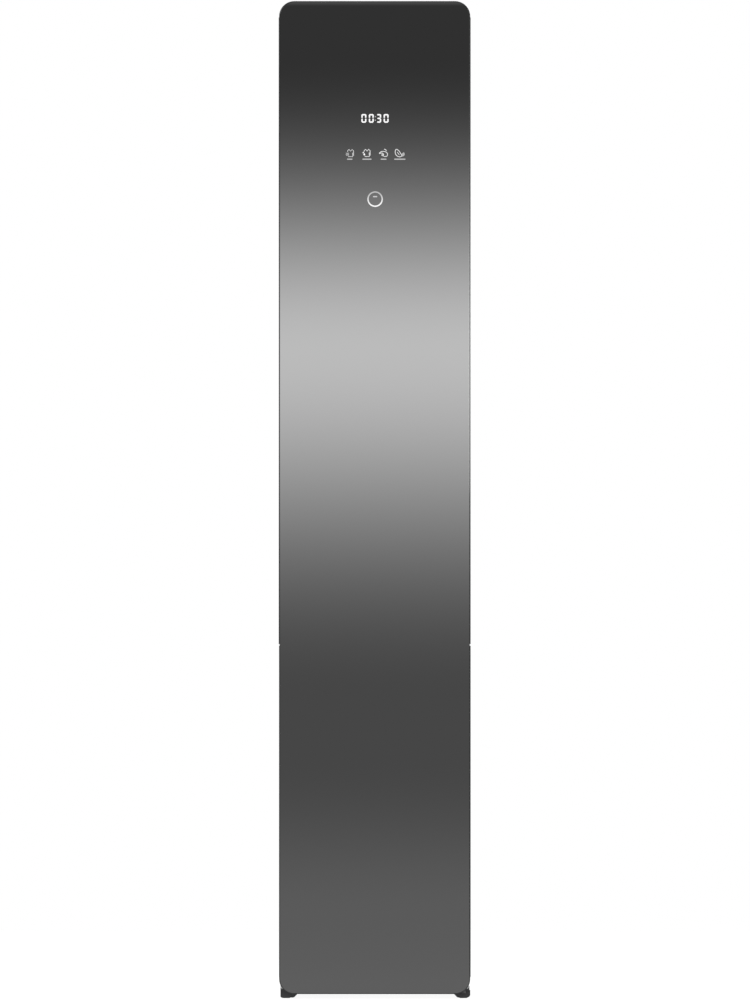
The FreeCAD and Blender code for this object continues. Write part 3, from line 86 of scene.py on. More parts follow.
class Paint:
    # builds the nodes of a material, or of the world where one is given
    def __init__(self, name, world=None):
        self.owner = world or bpy.data.materials.new(name)
        self.owner.use_nodes = True
        self.tree = self.owner.node_tree
        self.tree.nodes.clear()

    def node(self, kind, settings=None, inputs=None, out=0):
        made = self.tree.nodes.new(kind)
        for key, value in (settings or {}).items():
            setattr(made, key, value)
        for key, value in (inputs or {}).items():
            self.feed(made.inputs[key], value)
        return Signal(self, made.outputs[out]) if len(made.outputs) else None

    def feed(self, socket, value):
        if isinstance(value, Signal):
            self.tree.links.new(value.output, socket)
        elif hasattr(socket.default_value, "__len__") and not hasattr(value, "__len__"):
            socket.default_value = [value] * len(socket.default_value)
        elif hasattr(value, "__len__") and len(value) == 3 and len(socket.default_value) == 4:
            socket.default_value = (*value, 1)
        else:
            socket.default_value = value

    def math(self, operation, a, b=0.0, c=0.0):
        return self.node("ShaderNodeMath", {"operation": operation}, {0: a, 1: b, 2: c})

    def where(self, axis):
        place = self.node("ShaderNodeTexCoord", out="Object")
        return self.node("ShaderNodeSeparateXYZ", None, {0: place}, axis)

    def place(self, scale=(1, 1, 1)):
        spot = self.node("ShaderNodeTexCoord", out="Object")
        return self.node("ShaderNodeMapping", None, {"Vector": spot, "Scale": scale})

    def smooth(self, value, low, high):
        return self.node(
            "ShaderNodeMapRange", {"interpolation_type": "SMOOTHSTEP"},
            {"Value": value, "From Min": low, "From Max": high},
        )

    def fromScreen(self, grey):
        # a screen grey, above the darkest few, as linear light
        return self.math("POWER", (grey / 255 + 0.055) / 1.055, 2.4)

    def around(self, value, middle, spread):
        # a value from 0 to 1 turned into one that wanders about the middle
        return value * spread + (middle - spread / 2)

    def noise(self, scale, detail=3.0, rough=0.55, stretch=(1, 1, 1)):
        inputs = {"Vector": self.place(stretch), "Scale": scale, "Detail": detail, "Roughness": rough}
        return self.node("ShaderNodeTexNoise", None, inputs, "Fac")

    def cells(self, scale, stretch=(1, 1, 1), out="Distance"):
        inputs = {"Vector": self.place(stretch), "Scale": scale}
        return self.node("ShaderNodeTexVoronoi", None, inputs, out)

    def wave(self, axis, pitch):
        return self.math("SINE", self.where(axis) * (2 * math.pi / pitch))

    def mix(self, amount, a, b):
        return self.node("ShaderNodeMix", {"data_type": "RGBA"}, {0: amount, 6: a, 7: b}, 2)

    def bump(self, height, strength, distance, soft=0.0):
        # soft is the radius that sharp edges seem to be rounded by
        inputs = {"Height": height, "Strength": strength, "Distance": distance}
        if soft:
            inputs["Normal"] = self.node("ShaderNodeBevel", {"samples": 4}, {"Radius": soft}, "Normal")
        return self.node("ShaderNodeBump", None, inputs, "Normal")

    def finish(self, inputs):
        shader = self.node("ShaderNodeBsdfPrincipled", None, inputs, "BSDF")
        self.node("ShaderNodeOutputMaterial", None, {"Surface": shader})
        return self.owner


def shaded(colour, share):
    return [min(1.0, c * share) for c in colour]


# door finishes

mirror = {
    # screen greys of the painted reflection on the dark glass, from 0 to 255
    "footGrey": 90,
    "lowGrey": 70,
    "bandGrey": 187,
    "topGrey": 48,
    # heights in metres over which one grey turns into the next
    "footFade": (0.15, 0.45),
    "bandRise": (0.56, 1.21),
    "bandFall": (1.20, 1.75),
    "rough": 0.045,
    "topEdge": (1.840, 1.850),  # painted highlight: the upper edge seems to catch the light
    "topHighlight": 0.045,
}


def paintedReflection(paint):
    # painted reflection: a soft light band across a dark mirror that is a little paler at its foot, painted
    # into the colour by height
    height = paint.where("Z")
    foot = 1 - paint.smooth(height, *mirror["footFade"])
    rise = paint.smooth(height, *mirror["bandRise"])
    fall = paint.smooth(height, *mirror["bandFall"])
    low, band = mirror["lowGrey"], mirror["bandGrey"]
    grey = low + foot * (mirror["footGrey"] - low) + rise * (band - low) - fall * (band - mirror["topGrey"])
    return paint.fromScreen(grey)


def makeMirror():
    paint = Paint("tintedMirrorPaintedReflection")
    # painted highlight: the base colour is lifted along the upper edge of the glass
    lift = paint.smooth(paint.where("Z"), *mirror["topEdge"]) * mirror["topHighlight"]
    return paint.finish({
        # the base colour is the painted reflection band on the dark glass
        "Base Color": paintedReflection(paint) + lift,
        "Metallic": 1.0,
        "Roughness": paint.around(paint.noise(3.0, 2.0), mirror["rough"], 0.02),
    })


strip = {
    "grain": 900.0,
    "stretch": (1, 1, 0.01),  # the brushing runs up and down
    "dark": (0.004, 0.004, 0.004),
    "rough": 0.25,
    "edge": 0.0006,
}


def makeStrip():
    paint = Paint("stripSatin")
    streak = paint.noise(strip["grain"], 3.0, 0.6, strip["stretch"])
    return paint.finish({
        # the strips show the same painted reflection band as the glass, broken by dark brushing streaks
        "Base Color": paint.mix(paint.around(streak, 0.6, 0.2), strip["dark"], paintedReflection(paint)),
        "Metallic": 1.0,
        "Roughness": paint.around(streak, strip["rough"], 0.1),
        "Normal": paint.bump(streak, 0.2, 0.00003, strip["edge"]),
    })


# plain finishes

def makePlastic(name, colour, rough=0.42, grain=2200.0, depth=0.00006, mottle=0.05, coat=0.0, soft=0.0012):
    paint = Paint(name)
    cloud = paint.noise(14.0, 4.0)
    fine = paint.noise(grain, 2.0, 0.6)
    return paint.finish({
        "Base Color": paint.mix(cloud, shaded(colour, 1 - mottle), shaded(colour, 1 + mottle)),
        "Roughness": paint.around(cloud, rough, 0.08),
        "Normal": paint.bump(fine, 0.35, depth, soft),
        "Coat Weight": coat,
        "Coat Roughness": 0.12,
    })


def makePowder(name, colour, rough=0.5):
    paint = Paint(name)
    pebble = paint.cells(1500.0)
    cloud = paint.noise(6.0, 3.0)
    return paint.finish({
        "Base Color": paint.mix(cloud, shaded(colour, 0.92), shaded(colour, 1.08)),
        "Roughness": paint.around(cloud, rough, 0.1),
        "Normal": paint.bump(pebble, 0.25, 0.00008, 0.0012),
    })


def makeBrushed(name, colour, rough, stretch):
    paint = Paint(name)
    streak = paint.noise(900.0, 3.0, 0.6, stretch)
    cloud = paint.noise(9.0, 2.0)
    return paint.finish({
        "Base Color": paint.mix(streak * 0.6 + cloud * 0.4, shaded(colour, 0.86), colour),
        "Metallic": 1.0,
        "Roughness": paint.around(streak, rough, 0.16),
        "Normal": paint.bump(streak, 0.3, 0.00004),
    })


def makeRubber(name, grey, rough=0.72):
    paint = Paint(name)
    dust = paint.noise(260.0, 5.0, 0.65)
    cloud = paint.noise(18.0, 3.0)
    return paint.finish({
        "Base Color": paint.mix(cloud * 0.7 + dust * 0.3, [grey * 0.82] * 3, [grey * 1.2] * 3),
        "Roughness": paint.around(dust, rough, 0.1),
        "Normal": paint.bump(dust, 0.3, 0.0001),
    })


# finishes of single pieces

zinc = {
    "flake": 130.0,  # crystals a centimetre or so across
    "flakeStretch": (1, 1, 0.7),
    "rolling": 300.0,
    "rollingStretch": (1, 1, 0.02),
    "dark": (0.30, 0.31, 0.325),
    "light": (0.43, 0.44, 0.455),
}


def makeSpangled():
    paint = Paint("galvanisedSheet")
    crystal = paint.cells(zinc["flake"], zinc["flakeStretch"], "Color")
    flake = paint.node("ShaderNodeSeparateColor", None, {0: crystal}, "Red")
    cloud = paint.noise(4.0, 3.0)
    rolled = paint.noise(zinc["rolling"], 2.0, 0.5, zinc["rollingStretch"])
    return paint.finish({
        "Base Color": paint.mix(flake * 0.35 + cloud * 0.45 + rolled * 0.2, zinc["dark"], zinc["light"]),
        "Metallic": 0.85,
        "Roughness": flake * 0.08 + rolled * 0.06 + 0.40,
        "Normal": paint.bump(flake + rolled * 0.4, 0.08, 0.0001, 0.0008),
    })


press = {
    "halfPitch": 0.006,
    "hole": (0.0014, 0.0020),  # radius where a hole ends and where its rim does
    "dark": (0.30, 0.30, 0.295),
    "light": (0.35, 0.35, 0.345),
    # colour of the holes: the dark back plate seen through them, and painted shade in them
    "inside": (0.05, 0.05, 0.05),
}


def makePerforated():
    # light grey moulding with rows of small steam holes; the holes are painted near black, partly the dark
    # back plate seen through them and partly painted shade
    paint = Paint("perforatedPress")
    across = paint.math("PINGPONG", paint.where("X"), press["halfPitch"])
    up = paint.math("PINGPONG", paint.where("Z"), press["halfPitch"])
    hole = 1 - paint.smooth(paint.math("SQRT", across * across + up * up), *press["hole"])
    cloud = paint.noise(14.0, 4.0)
    return paint.finish({
        "Base Color": paint.mix(hole, paint.mix(cloud, press["dark"], press["light"]), press["inside"]),
        "Roughness": paint.around(cloud, 0.5, 0.08),
        "Normal": paint.bump(1 - hole, 0.6, 0.0008, 0.0015),
    })


foam = {
    "beads": 240.0,
    "light": (0.86, 0.85, 0.82),
    "dark": (0.70, 0.69, 0.66),
}


def makeFoam():
    paint = Paint("foamBeads")
    bead = paint.cells(foam["beads"])
    return paint.finish({
        "Base Color": paint.mix(paint.smooth(bead, 0.2, 0.75), foam["light"], foam["dark"]),
        "Roughness": 0.85,
        "Normal": paint.bump(bead, 0.6, 0.0006),
    })


lamp = {
    "caseHigh": 0.0125,  # from the top of the lamp down to just inside its lens
    "caseGrey": (0.28, 0.285, 0.285),
    "ridge": 0.003,
    "lens": [(0.84, 0.85, 0.84), (0.93, 0.94, 0.93)],
    "light": (1.0, 0.98, 0.93),
    "strength": 1.5,
}


def makeLamp():
    # a ridged lens that glows, under a case that doesn't
    paint = Paint("frostedLamp")
    frost = paint.noise(700.0, 2.0)
    case = paint.where("Z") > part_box("chamber_lamp")[1][2] - lamp["caseHigh"]
    return paint.finish({
        "Base Color": paint.mix(case, paint.mix(frost, *lamp["lens"]), lamp["caseGrey"]),
        "Roughness": paint.around(frost, 0.3, 0.1),
        "Normal": paint.bump(paint.wave("X", lamp["ridge"]) * 3.0 + frost, 0.3, 0.0001),
        "Emission Color": paint.mix(case, lamp["light"], (0, 0, 0)),
        "Emission Strength": lamp["strength"],
    })


fins = {
    "pitch": 0.0019,
    "dark": (0.60, 0.61, 0.62),
    "light": (0.80, 0.81, 0.82),
}


def makeFins():
    paint = Paint("coilFins")
    grime = paint.noise(30.0, 4.0)
    return paint.finish({
        "Base Color": paint.mix(grime, fins["dark"], fins["light"]),
        "Metallic": 1.0,
        "Roughness": paint.around(grime, 0.375, 0.15),
        "Normal": paint.bump(paint.wave("X", fins["pitch"]), 0.5, 0.0004),
    })


tankPlastic = {
    "dark": (0.045, 0.054, 0.061),
    "light": (0.060, 0.070, 0.077),
    "cover": 0.5,  # how much of what stands behind it the smoked wall hides
}


def makeTankPlastic():
    paint = Paint("smokedTank")
    cloud = paint.noise(12.0, 3.0)
    return paint.finish({
        "Base Color": paint.mix(cloud, tankPlastic["dark"], tankPlastic["light"]),
        "Roughness": paint.around(cloud, 0.115, 0.05),
        "Alpha": tankPlastic["cover"],
        "Normal": paint.bump(cloud, 0.05, 0.0004, 0.002),
    })


weave = {
    "pitch": 0.0011,
    "edge": (-0.15, 0.3),  # where a thread begins and is whole, on its wave from -1 to 1
    "dark": (0.42, 0.45, 0.48),
    "light": (0.52, 0.55, 0.58),
}


def makeWeave():
    # fine filter cloth: threads both ways with open squares between them
    paint = Paint("filterWeave")
    warp = paint.wave("X", weave["pitch"])
    weft = paint.wave("Y", weave["pitch"])
    thread = paint.math("MAXIMUM", paint.smooth(warp, *weave["edge"]), paint.smooth(weft, *weave["edge"]))
    return paint.finish({
        "Base Color": paint.mix(paint.noise(60.0, 2.0), weave["dark"], weave["light"]),
        "Roughness": paint.around(thread, 0.65, 0.1),
        "Alpha": thread,
        "Normal": paint.bump(warp + weft, 0.4, 0.0002),
    })


glow = {
    "unlit": (0.02, 0.02, 0.02),
    "rough": 0.35,
    "ringHeights": (1.4680, 1.4960),  # the ring is brighter towards its foot
    "ringGreys": (0.98, 0.46),
}


def glowing(paint, light):
    return paint.finish({
        "Base Color": glow["unlit"],
        "Roughness": glow["rough"],
        "Emission Color": light,
        "Emission Strength": 1.0,
    })


def makeGlow(name, level):
    paint = Paint(name)
    return glowing(paint, paint.mix(paint.noise(900.0, 2.0), [level * 0.97] * 3, [level] * 3))


def makeRingGlow():
    paint = Paint("glowRing")
    height = paint.smooth(paint.where("Z"), *glow["ringHeights"])
    low, high = glow["ringGreys"]
    return glowing(paint, paint.mix(height, [low] * 3, [high] * 3))


finishes = {
    "tintedMirrorPaintedReflection": makeMirror(),
    "stripSatin": makeStrip(),
    "frameBlack": makePlastic("frameBlack", (0.012, 0.012, 0.013), rough=0.4, grain=1800.0),
    "linerWhite": makePlastic(
        "linerWhite", (0.47, 0.475, 0.475), rough=0.36, grain=1500.0, depth=0.00005, mottle=0.03, soft=0.002
    ),
    "displayBlack": makePlastic("displayBlack", (0.006, 0.006, 0.007), rough=0.25),
    "pressDark": makePlastic("pressDark", (0.06, 0.06, 0.062), rough=0.48, grain=1200.0),
    "filterGrey": makePlastic("filterGrey", (0.11, 0.15, 0.19), rough=0.46),
    "aromaWhite": makePlastic(
        "aromaWhite", (0.66, 0.66, 0.65), rough=0.3, grain=1500.0, depth=0.00003, mottle=0.02, coat=0.3
    ),
    "fanWhite": makePlastic("fanWhite", (0.55, 0.55, 0.54)),
    "ductGrey": makePlastic("ductGrey", (0.26, 0.27, 0.28), rough=0.55, grain=800.0, depth=0.0001),
    "boxGrey": makePlastic("boxGrey", (0.42, 0.42, 0.40), rough=0.5),
    "lidDark": makePlastic(
        "lidDark", (0.05, 0.055, 0.06), rough=0.36, grain=1400.0, depth=0.00005, mottle=0.04, coat=0.2
    ),
    "hangerGrey": makePlastic("hangerGrey", (0.045, 0.045, 0.048), rough=0.4, grain=900.0, depth=0.0001),
    "markGrey": makePlastic(
        "markGrey", (0.26, 0.27, 0.28), rough=0.5, grain=1800.0, depth=0.00003, mottle=0.04
    ),
    "inletBlack": makePlastic("inletBlack", (0.012, 0.012, 0.012), rough=0.5),
    "shelfGrey": makePlastic("shelfGrey", (0.46, 0.46, 0.455)),
    "shellDark": makePowder("shellDark", (0.022, 0.022, 0.0235), 0.46),
    "baseDark": makePowder("baseDark", (0.014, 0.014, 0.015)),
    "motorBlack": makePowder("motorBlack", (0.010, 0.010, 0.011), 0.34),
    "castBoiler": makePowder("castBoiler", (0.30, 0.30, 0.30)),
    "brightSteel": makeBrushed("brightSteel", (0.62, 0.62, 0.63), 0.24, (1, 40, 40)),
    "barSteel": makeBrushed("barSteel", (0.66, 0.66, 0.67), 0.16, (60, 1, 1)),
    "copperPipe": makeBrushed("copperPipe", (0.72, 0.32, 0.17), 0.26, (1, 1, 1)),
    "pinBrass": makeBrushed("pinBrass", (0.62, 0.50, 0.28), 0.24, (1, 40, 1)),
    "sealGrey": makeRubber("sealGrey", 0.16),
    "footBlack": makeRubber("footBlack", 0.02),
    "hoseGrey": makeRubber("hoseGrey", 0.2, 0.6),
    "gripRubber": makeRubber("gripRubber", 0.024, 0.66),
    "grommetBlack": makeRubber("grommetBlack", 0.014, 0.6),
    "ribSilicone": makeRubber("ribSilicone", 0.11, 0.55),
    "galvanised": makeSpangled(),
    "pressGrey": makePerforated(),
    "foamBeads": makeFoam(),
    "frostedLamp": makeLamp(),
    "coilFins": makeFins(),
    "smokedTank": makeTankPlastic(),
    "filterWeave": makeWeave(),
    "glowWhite": makeGlow("glowWhite", 0.98),
    "glowSoft": makeGlow("glowSoft", 0.80),
    "glowFaint": makeGlow("glowFaint", 0.62),
    "glowMark": makeGlow("glowMark", 0.55),
    "glowCaption": makeGlow("glowCaption", 0.48),
    "glowDim": makeGlow("glowDim", 0.40),
    "glowRing": makeRingGlow(),
}

# the pieces of the frame that wear each finish
dressing = {
    "frameBlack": ["door_frame", "hinge_cover"],
    "stripSatin": ["door_strips", "door_grip"],
    "linerWhite": [
        "door_inner", "front_collar", "lower_fascia", "chamber_left", "chamber_right",
        "chamber_rear", "chamber_ceiling", "chamber_floor",
    ],
    "sealGrey": ["door_gasket"],
    "displayBlack": ["display_module"],
    "pressGrey": ["press_board"],
    "pressDark": ["press_back", "steam_nozzle", "hanger_carriage"],
    "shellDark": ["side_left", "side_right", "top_cover"],
    "galvanised": ["rear_panel", "rear_cover", "drive_frame"],
    "baseDark": ["base_pan", "door_hinges"],
    "footBlack": ["foot_left", "foot_right", "compressor_mounts"],
    "brightSteel": ["body_screws", "crank_disc"],
    "barSteel": ["hanger_bar"],
    "foamBeads": ["insulation"],
    "frostedLamp": ["chamber_lamp"],
    "filterGrey": ["lint_filter"],
    "aromaWhite": ["aroma_case"],
    "motorBlack": ["drive_motor", "fan_motor", "compressor", "drain_pump"],
    "coilFins": ["evaporator", "condenser"],
    "fanWhite": ["fan_impeller"],
    "ductGrey": ["air_duct", "fan_scroll", "tank_bay"],
    "copperPipe": ["refrigerant_pipes"],
    "hoseGrey": ["water_hoses"],
    "castBoiler": ["steam_generator"],
    "boxGrey": ["control_box"],
    "smokedTank": ["supply_tank", "drain_tank"],
    "lidDark": ["supply_lid", "drain_lid"],
    "hangerGrey": ["hanger_left", "hanger_right"],
    "inletBlack": ["power_inlet"],
    "shelfGrey": ["garment_shelf"],
}

for finish, names in dressing.items():
    for name in names:
        mesh = nodes[name].data
        mesh.materials.clear()
        mesh.materials.append(finishes[finish])
print("finishes made:", len(finishes))


# mesh helpers

def addPiece(name, mesh, finish, body):
    piece = bpy.data.objects.new(name, mesh)
    bpy.context.scene.collection.objects.link(piece)
    mesh.materials.append(finishes[finish])
    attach(piece, body)
    return piece


def asMesh(shape, name):
    bmesh.ops.recalc_face_normals(shape, faces=shape.faces)
    mesh = bpy.data.meshes.new(name)
    shape.to_mesh(mesh)
    shape.free()
    return mesh


def addRow(shape, points):
    return [shape.verts.new(point) for point in points]


def joinRows(shape, rows, wrap=False, smooth=False):
    # faces from each row of points to the next; every row is a closed ring
    for a, b in zip(rows, rows[1:] + rows[:1] if wrap else rows[1:]):
        for i in range(len(a)):
            j = (i + 1) % len(a)
            shape.faces.new((a[i], a[j], b[j], b[i])).smooth = smooth


def closeEnds(shape, rows):
    shape.faces.new(rows[-1])
    shape.faces.new(list(reversed(rows[0])))


def turnsOf(count):
    return [2 * math.pi * i / count for i in range(count)]


def arc(x, z, radius, start, end, steps):
    points = []
    for i in range(steps + 1):
        angle = math.radians(start + (end - start) * i / steps)
        points.append((x + radius * math.cos(angle), z + radius * math.sin(angle)))
    return points


def circle(x, z, radius, count):
    return [(x + radius * math.cos(t), z + radius * math.sin(t)) for t in turnsOf(count)]


def roundedOutline(left, right, low, high, radius, steps):
    corners = [
        (right - radius, low + radius, -90), (right - radius, high - radius, 0),
        (left + radius, high - radius, 90), (left + radius, low + radius, 180),
    ]
    points = []
    for x, z, start in corners:
        points += arc(x, z, radius, start, start + 90, steps)
    return points


def insetOutline(box, inset, corner, steps):
    # the front outline of a box, drawn in by an even inset
    (left, _, low), (right, _, high) = box
    return roundedOutline(left + inset, right - inset, low + inset, high - inset, corner - inset, steps)


def plateMesh(name, outlines, front, back):
    # each outline, seen from the front, becomes one thin closed plate
    shape = bmesh.new()
    for outline in outlines:
        rows = [addRow(shape, [(x, y, z) for x, z in outline]) for y in (front, back)]
        joinRows(shape, rows)
        closeEnds(shape, rows)
    return asMesh(shape, name)


def stroke(points, wide, closed):
    # the two sides of a line of even width drawn through the points
    count = len(points)
    sides = []
    for i, (x, z) in enumerate(points):
        before = points[i - 1] if i > 0 or closed else points[i]
        after = points[(i + 1) % count] if i < count - 1 or closed else points[i]
        dx, dz = after[0] - before[0], after[1] - before[1]
        size = math.hypot(dx, dz) or 1.0
        nx, nz = -dz / size * wide / 2, dx / size * wide / 2
        sides.append(((x + nx, z + nz), (x - nx, z - nz)))
    return sides


def strokeMesh(name, lines, front, back):
    shape = bmesh.new()
    for points, wide, closed in lines:
        rows = []
        for (lx, lz), (rx, rz) in stroke(points, wide, closed):
            rows.append(addRow(shape, [(lx, front, lz), (rx, front, rz), (rx, back, rz), (lx, back, lz)]))
        joinRows(shape, rows, wrap=closed)
        if not closed:
            closeEnds(shape, rows)
    return asMesh(shape, name)


# door glass

pane = {
    "lit": 0.00005,  # how far the lit marks stand proud of the glass
    "corner": 0.0266,
    "cornerSteps": 18,
    "edge": 0.0008,
    "edgeSteps": 4,
}


def makePane():
    # the sheet of mirror glass with a ground and rounded edge
    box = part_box("door_glass")
    front = box[0][1] + pane["lit"]
    edge = pane["edge"]
    rings = []
    for i in range(pane["edgeSteps"] + 1):
        angle = math.pi / 2 * i / pane["edgeSteps"]
        rings.append((edge * (1 - math.sin(angle)), front + edge * (1 - math.cos(angle))))
    rings.append((0.0, box[1][1]))
    shape = bmesh.new()
    rows = []
    for inset, y in rings:
        loop = insetOutline(box, inset, pane["corner"], pane["cornerSteps"])
        rows.append(addRow(shape, [(x, y, z) for x, z in loop]))
    joinRows(shape, rows, smooth=True)
    closeEnds(shape, rows)
    piece = addPiece("mirrorPane", asMesh(shape, "mirrorPane"), "tintedMirrorPaintedReflection", "door")
    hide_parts("door_glass")


# door seal

seal = {
    "corner": 0.016,
    "cornerSteps": 8,
    "deep": 8.2,  # depth of the section below
    # millimetres in from the outer line, then forward of the door's back:
    # foot, bellows and magnet bulb
    "section": [
        (2.2, 0.0), (1.2, 0.5), (0.7, 1.2), (1.6, 1.9), (2.6, 2.5), (1.4, 3.1), (0.6, 3.7), (1.2, 4.4),
        (1.8, 4.8), (0.6, 5.3), (0.0, 6.1), (0.0, 7.0), (0.5, 7.7), (1.6, 8.15), (5.0, 8.2), (8.4, 8.15),
        (9.5, 7.7), (10.0, 7.0), (10.0, 6.1), (9.4, 5.3), (8.2, 4.8), (8.8, 4.4), (9.4, 3.7), (8.6, 3.1),
        (7.4, 2.5), (8.4, 1.9), (9.3, 1.2), (8.8, 0.5), (7.8, 0.0),
    ],
}


def makeSeal():
    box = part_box("door_gasket")
    scale = (box[1][1] - box[0][1]) / seal["deep"]
    shape = bmesh.new()
    rows = []
    for inset, forward in seal["section"]:
        loop = insetOutline(box, inset / 1000, seal["corner"], seal["cornerSteps"])
        rows.append(addRow(shape, [(x, box[0][1] + forward * scale, z) for x, z in loop]))
    joinRows(shape, rows, wrap=True, smooth=True)
    piece = addPiece("bellowsSeal", asMesh(shape, "bellowsSeal"), "sealGrey", "door")
    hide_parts("door_gasket")


# screw heads

screws = {
    "radius": 0.0036,
    "turns": 24,
    # shares of the radius and of the height, from the foot of the dome to its crown
    "dome": [(1.0, 0.0), (1.0, 0.3), (0.93, 0.62), (0.8, 0.86), (0.62, 1.0)],
    "armLong": 0.0019,
    "armHalf": 0.00042,
    "recess": 0.55,  # depth of the cross as a share of the head
    "recessFloor": 0.72,
    "rearFace": 0.2912,
    "rearHigh": 0.0011,
    # places across, then heights
    "rearSides": [(-0.155, 0.155), (0.060, 0.280, 0.470, 0.540, 0.855, 1.170, 1.485, 1.800)],
    "rearEnds": [(-0.0588, 0.0588), (0.048, 0.480, 0.520, 1.812)],
    "topFace": 1.8380,
    "topHigh": 0.0024,
    "topPlaces": [(0.144, 0.156), (-0.226, -0.200)],
}


def screwHead(shape, put, high):
    # domed head with a crossed recess; put turns (across, up, out) into a place
    long, half = screws["armLong"], screws["armHalf"]
    turns = turnsOf(screws["turns"])
    cross = []
    for turn in turns:
        c, s = abs(math.cos(turn)) + 1e-9, abs(math.sin(turn)) + 1e-9
        cross.append(max(min(long / c, half / s), min(half / c, long / s)))
    dome = [screws["radius"]] * len(turns)
    floor = (screws["recessFloor"], 1.0 - screws["recess"])
    rings = [(dome, share, rise) for share, rise in screws["dome"]]
    rings += [(cross, 1.0, 1.0), (cross, *floor)]
    rows = []
    for radii, share, rise in rings:
        rows.append(addRow(shape, [
            put(r * share * math.cos(t), r * share * math.sin(t), high * rise) for r, t in zip(radii, turns)
        ]))
    joinRows(shape, rows)
    closeEnds(shape, rows)


def makeScrewHeads():
    shape = bmesh.new()
    rear, top = screws["rearFace"], screws["topFace"]
    for group in ("rearSides", "rearEnds"):
        across, heights = screws[group]
        for x in across:
            for z in heights:
                screwHead(shape, lambda a, b, out: (x - a, rear + out, z + b), screws["rearHigh"])
    across, depths = screws["topPlaces"]
    for y in depths:
        for x in across:
            screwHead(shape, lambda a, b, out: (x + a, y + b, top + out), screws["topHigh"])
    piece = addPiece("screwHeads", asMesh(shape, "screwHeads"), "brightSteel", "cabinet")
    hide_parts("body_screws")


# filter cloth

cloth = {
    "inset": 0.0082,
    "above": 0.00215,  # over the underside of the tray
    "thick": 0.0003,
    "sag": 0.0006,
    "grid": (22, 8),
}


def rim(rows):
    # the outer points of a grid, once round
    right = [row[-1] for row in rows[:-1]]
    left = [row[0] for row in rows[:0:-1]]
    return rows[0][:-1] + right + rows[-1][:0:-1] + left


def makeFilterCloth():
    low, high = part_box("lint_filter")
    inset = cloth["inset"]
    wide, deep = high[0] - low[0] - 2 * inset, high[1] - low[1] - 2 * inset
    across, along = cloth["grid"]
    shape = bmesh.new()
    sheets = []
    for lift in (0.0, cloth["thick"]):
        rows = []
        for k in range(along + 1):
            row = []
            for i in range(across + 1):
                u, v = i / across, k / along
                # the cloth sags a little between its edges
                rise = cloth["sag"] * (1 - math.sin(math.pi * u) * math.sin(math.pi * v))
                z = low[2] + cloth["above"] + rise + lift
                row.append((low[0] + inset + wide * u, low[1] + inset + deep * v, z))
            rows.append(addRow(shape, row))
        for a, b in zip(rows, rows[1:]):
            for i in range(across):
                shape.faces.new((a[i], a[i + 1], b[i + 1], b[i]))
        sheets.append(rows)
    joinRows(shape, [rim(rows) for rows in sheets])
    addPiece("filterCloth", asMesh(shape, "filterCloth"), "filterWeave", "lint_filter")


# pins of the power inlet

pins = {
    "middle": (-0.120, 0.107),
    "places": [(-0.007, -0.003), (0.007, -0.003), (0.0, 0.003)],
    "half": (0.00104, 0.00254),
    # from foot to tip: how far back, and the share of the width there
    "blade": [(0.2702, 1.0), (0.2851, 1.0), (0.2861, 0.55)],
}


def makeInletPins():
    # flat blades with tapered tips
    shape = bmesh.new()
    for dx, dz in pins["places"]:
        x, z = pins["middle"][0] + dx, pins["middle"][1] + dz
        rows = []
        for y, share in pins["blade"]:
            hx, hz = pins["half"][0] * share, pins["half"][1] * share
            corners = [(x - hx, y, z - hz), (x + hx, y, z - hz), (x + hx, y, z + hz), (x - hx, y, z + hz)]
            rows.append(addRow(shape, corners))
        joinRows(shape, rows)
        closeEnds(shape, rows)
    addPiece("inletPins", asMesh(shape, "inletPins"), "pinBrass", "cabinet")


# ribs on the hangers' shoulders

grips = {
    "hangers": {"hanger_left": -0.045, "hanger_right": 0.045},
    "bar": (0.020, 1.690),  # where the hook turns, seen from the side
    # start, middle and end of the shoulder's upper edge, from there
    "edge": [(0.118, -0.0605), (0.146, -0.0680), (0.168, -0.0800)],
    "span": (0.06, 0.92),  # the part of that edge that has ribs
    "count": 12,
    "half": 0.0141,
    "radius": 0.0009,
    "steps": 7,
    "sink": 0.0001,
}


def circleThrough(a, b, c):
    d = 2 * (a[0] * (b[1] - c[1]) + b[0] * (c[1] - a[1]) + c[0] * (a[1] - b[1]))
    aa, bb, cc = a[0] ** 2 + a[1] ** 2, b[0] ** 2 + b[1] ** 2, c[0] ** 2 + c[1] ** 2
    x = (aa * (b[1] - c[1]) + bb * (c[1] - a[1]) + cc * (a[1] - b[1])) / d
    y = (aa * (c[0] - b[0]) + bb * (a[0] - c[0]) + cc * (b[0] - a[0])) / d
    return (x, y), math.hypot(a[0] - x, a[1] - y)


def addRib(shape, middle, side, centre, radius, turn):
    # a half-round rib across the shoulder, drawn in towards its ends
    left, right = [], []
    for step in range(grips["steps"] + 1):
        around = math.pi * step / grips["steps"] - math.pi / 2
        away = radius + grips["radius"] * max(0.0, math.cos(around)) - grips["sink"]
        lean = turn + grips["radius"] * math.sin(around) / radius
        y = grips["bar"][0] + side * (centre[0] + away * math.cos(lean))
        z = grips["bar"][1] + centre[1] + away * math.sin(lean)
        half = grips["half"] - grips["radius"] * (1 - math.cos(around)) * 0.8
        left.append((middle - half, y, z))
        right.append((middle + half, y, z))
    rows = [addRow(shape, left), addRow(shape, right)]
    joinRows(shape, rows)
    closeEnds(shape, rows)


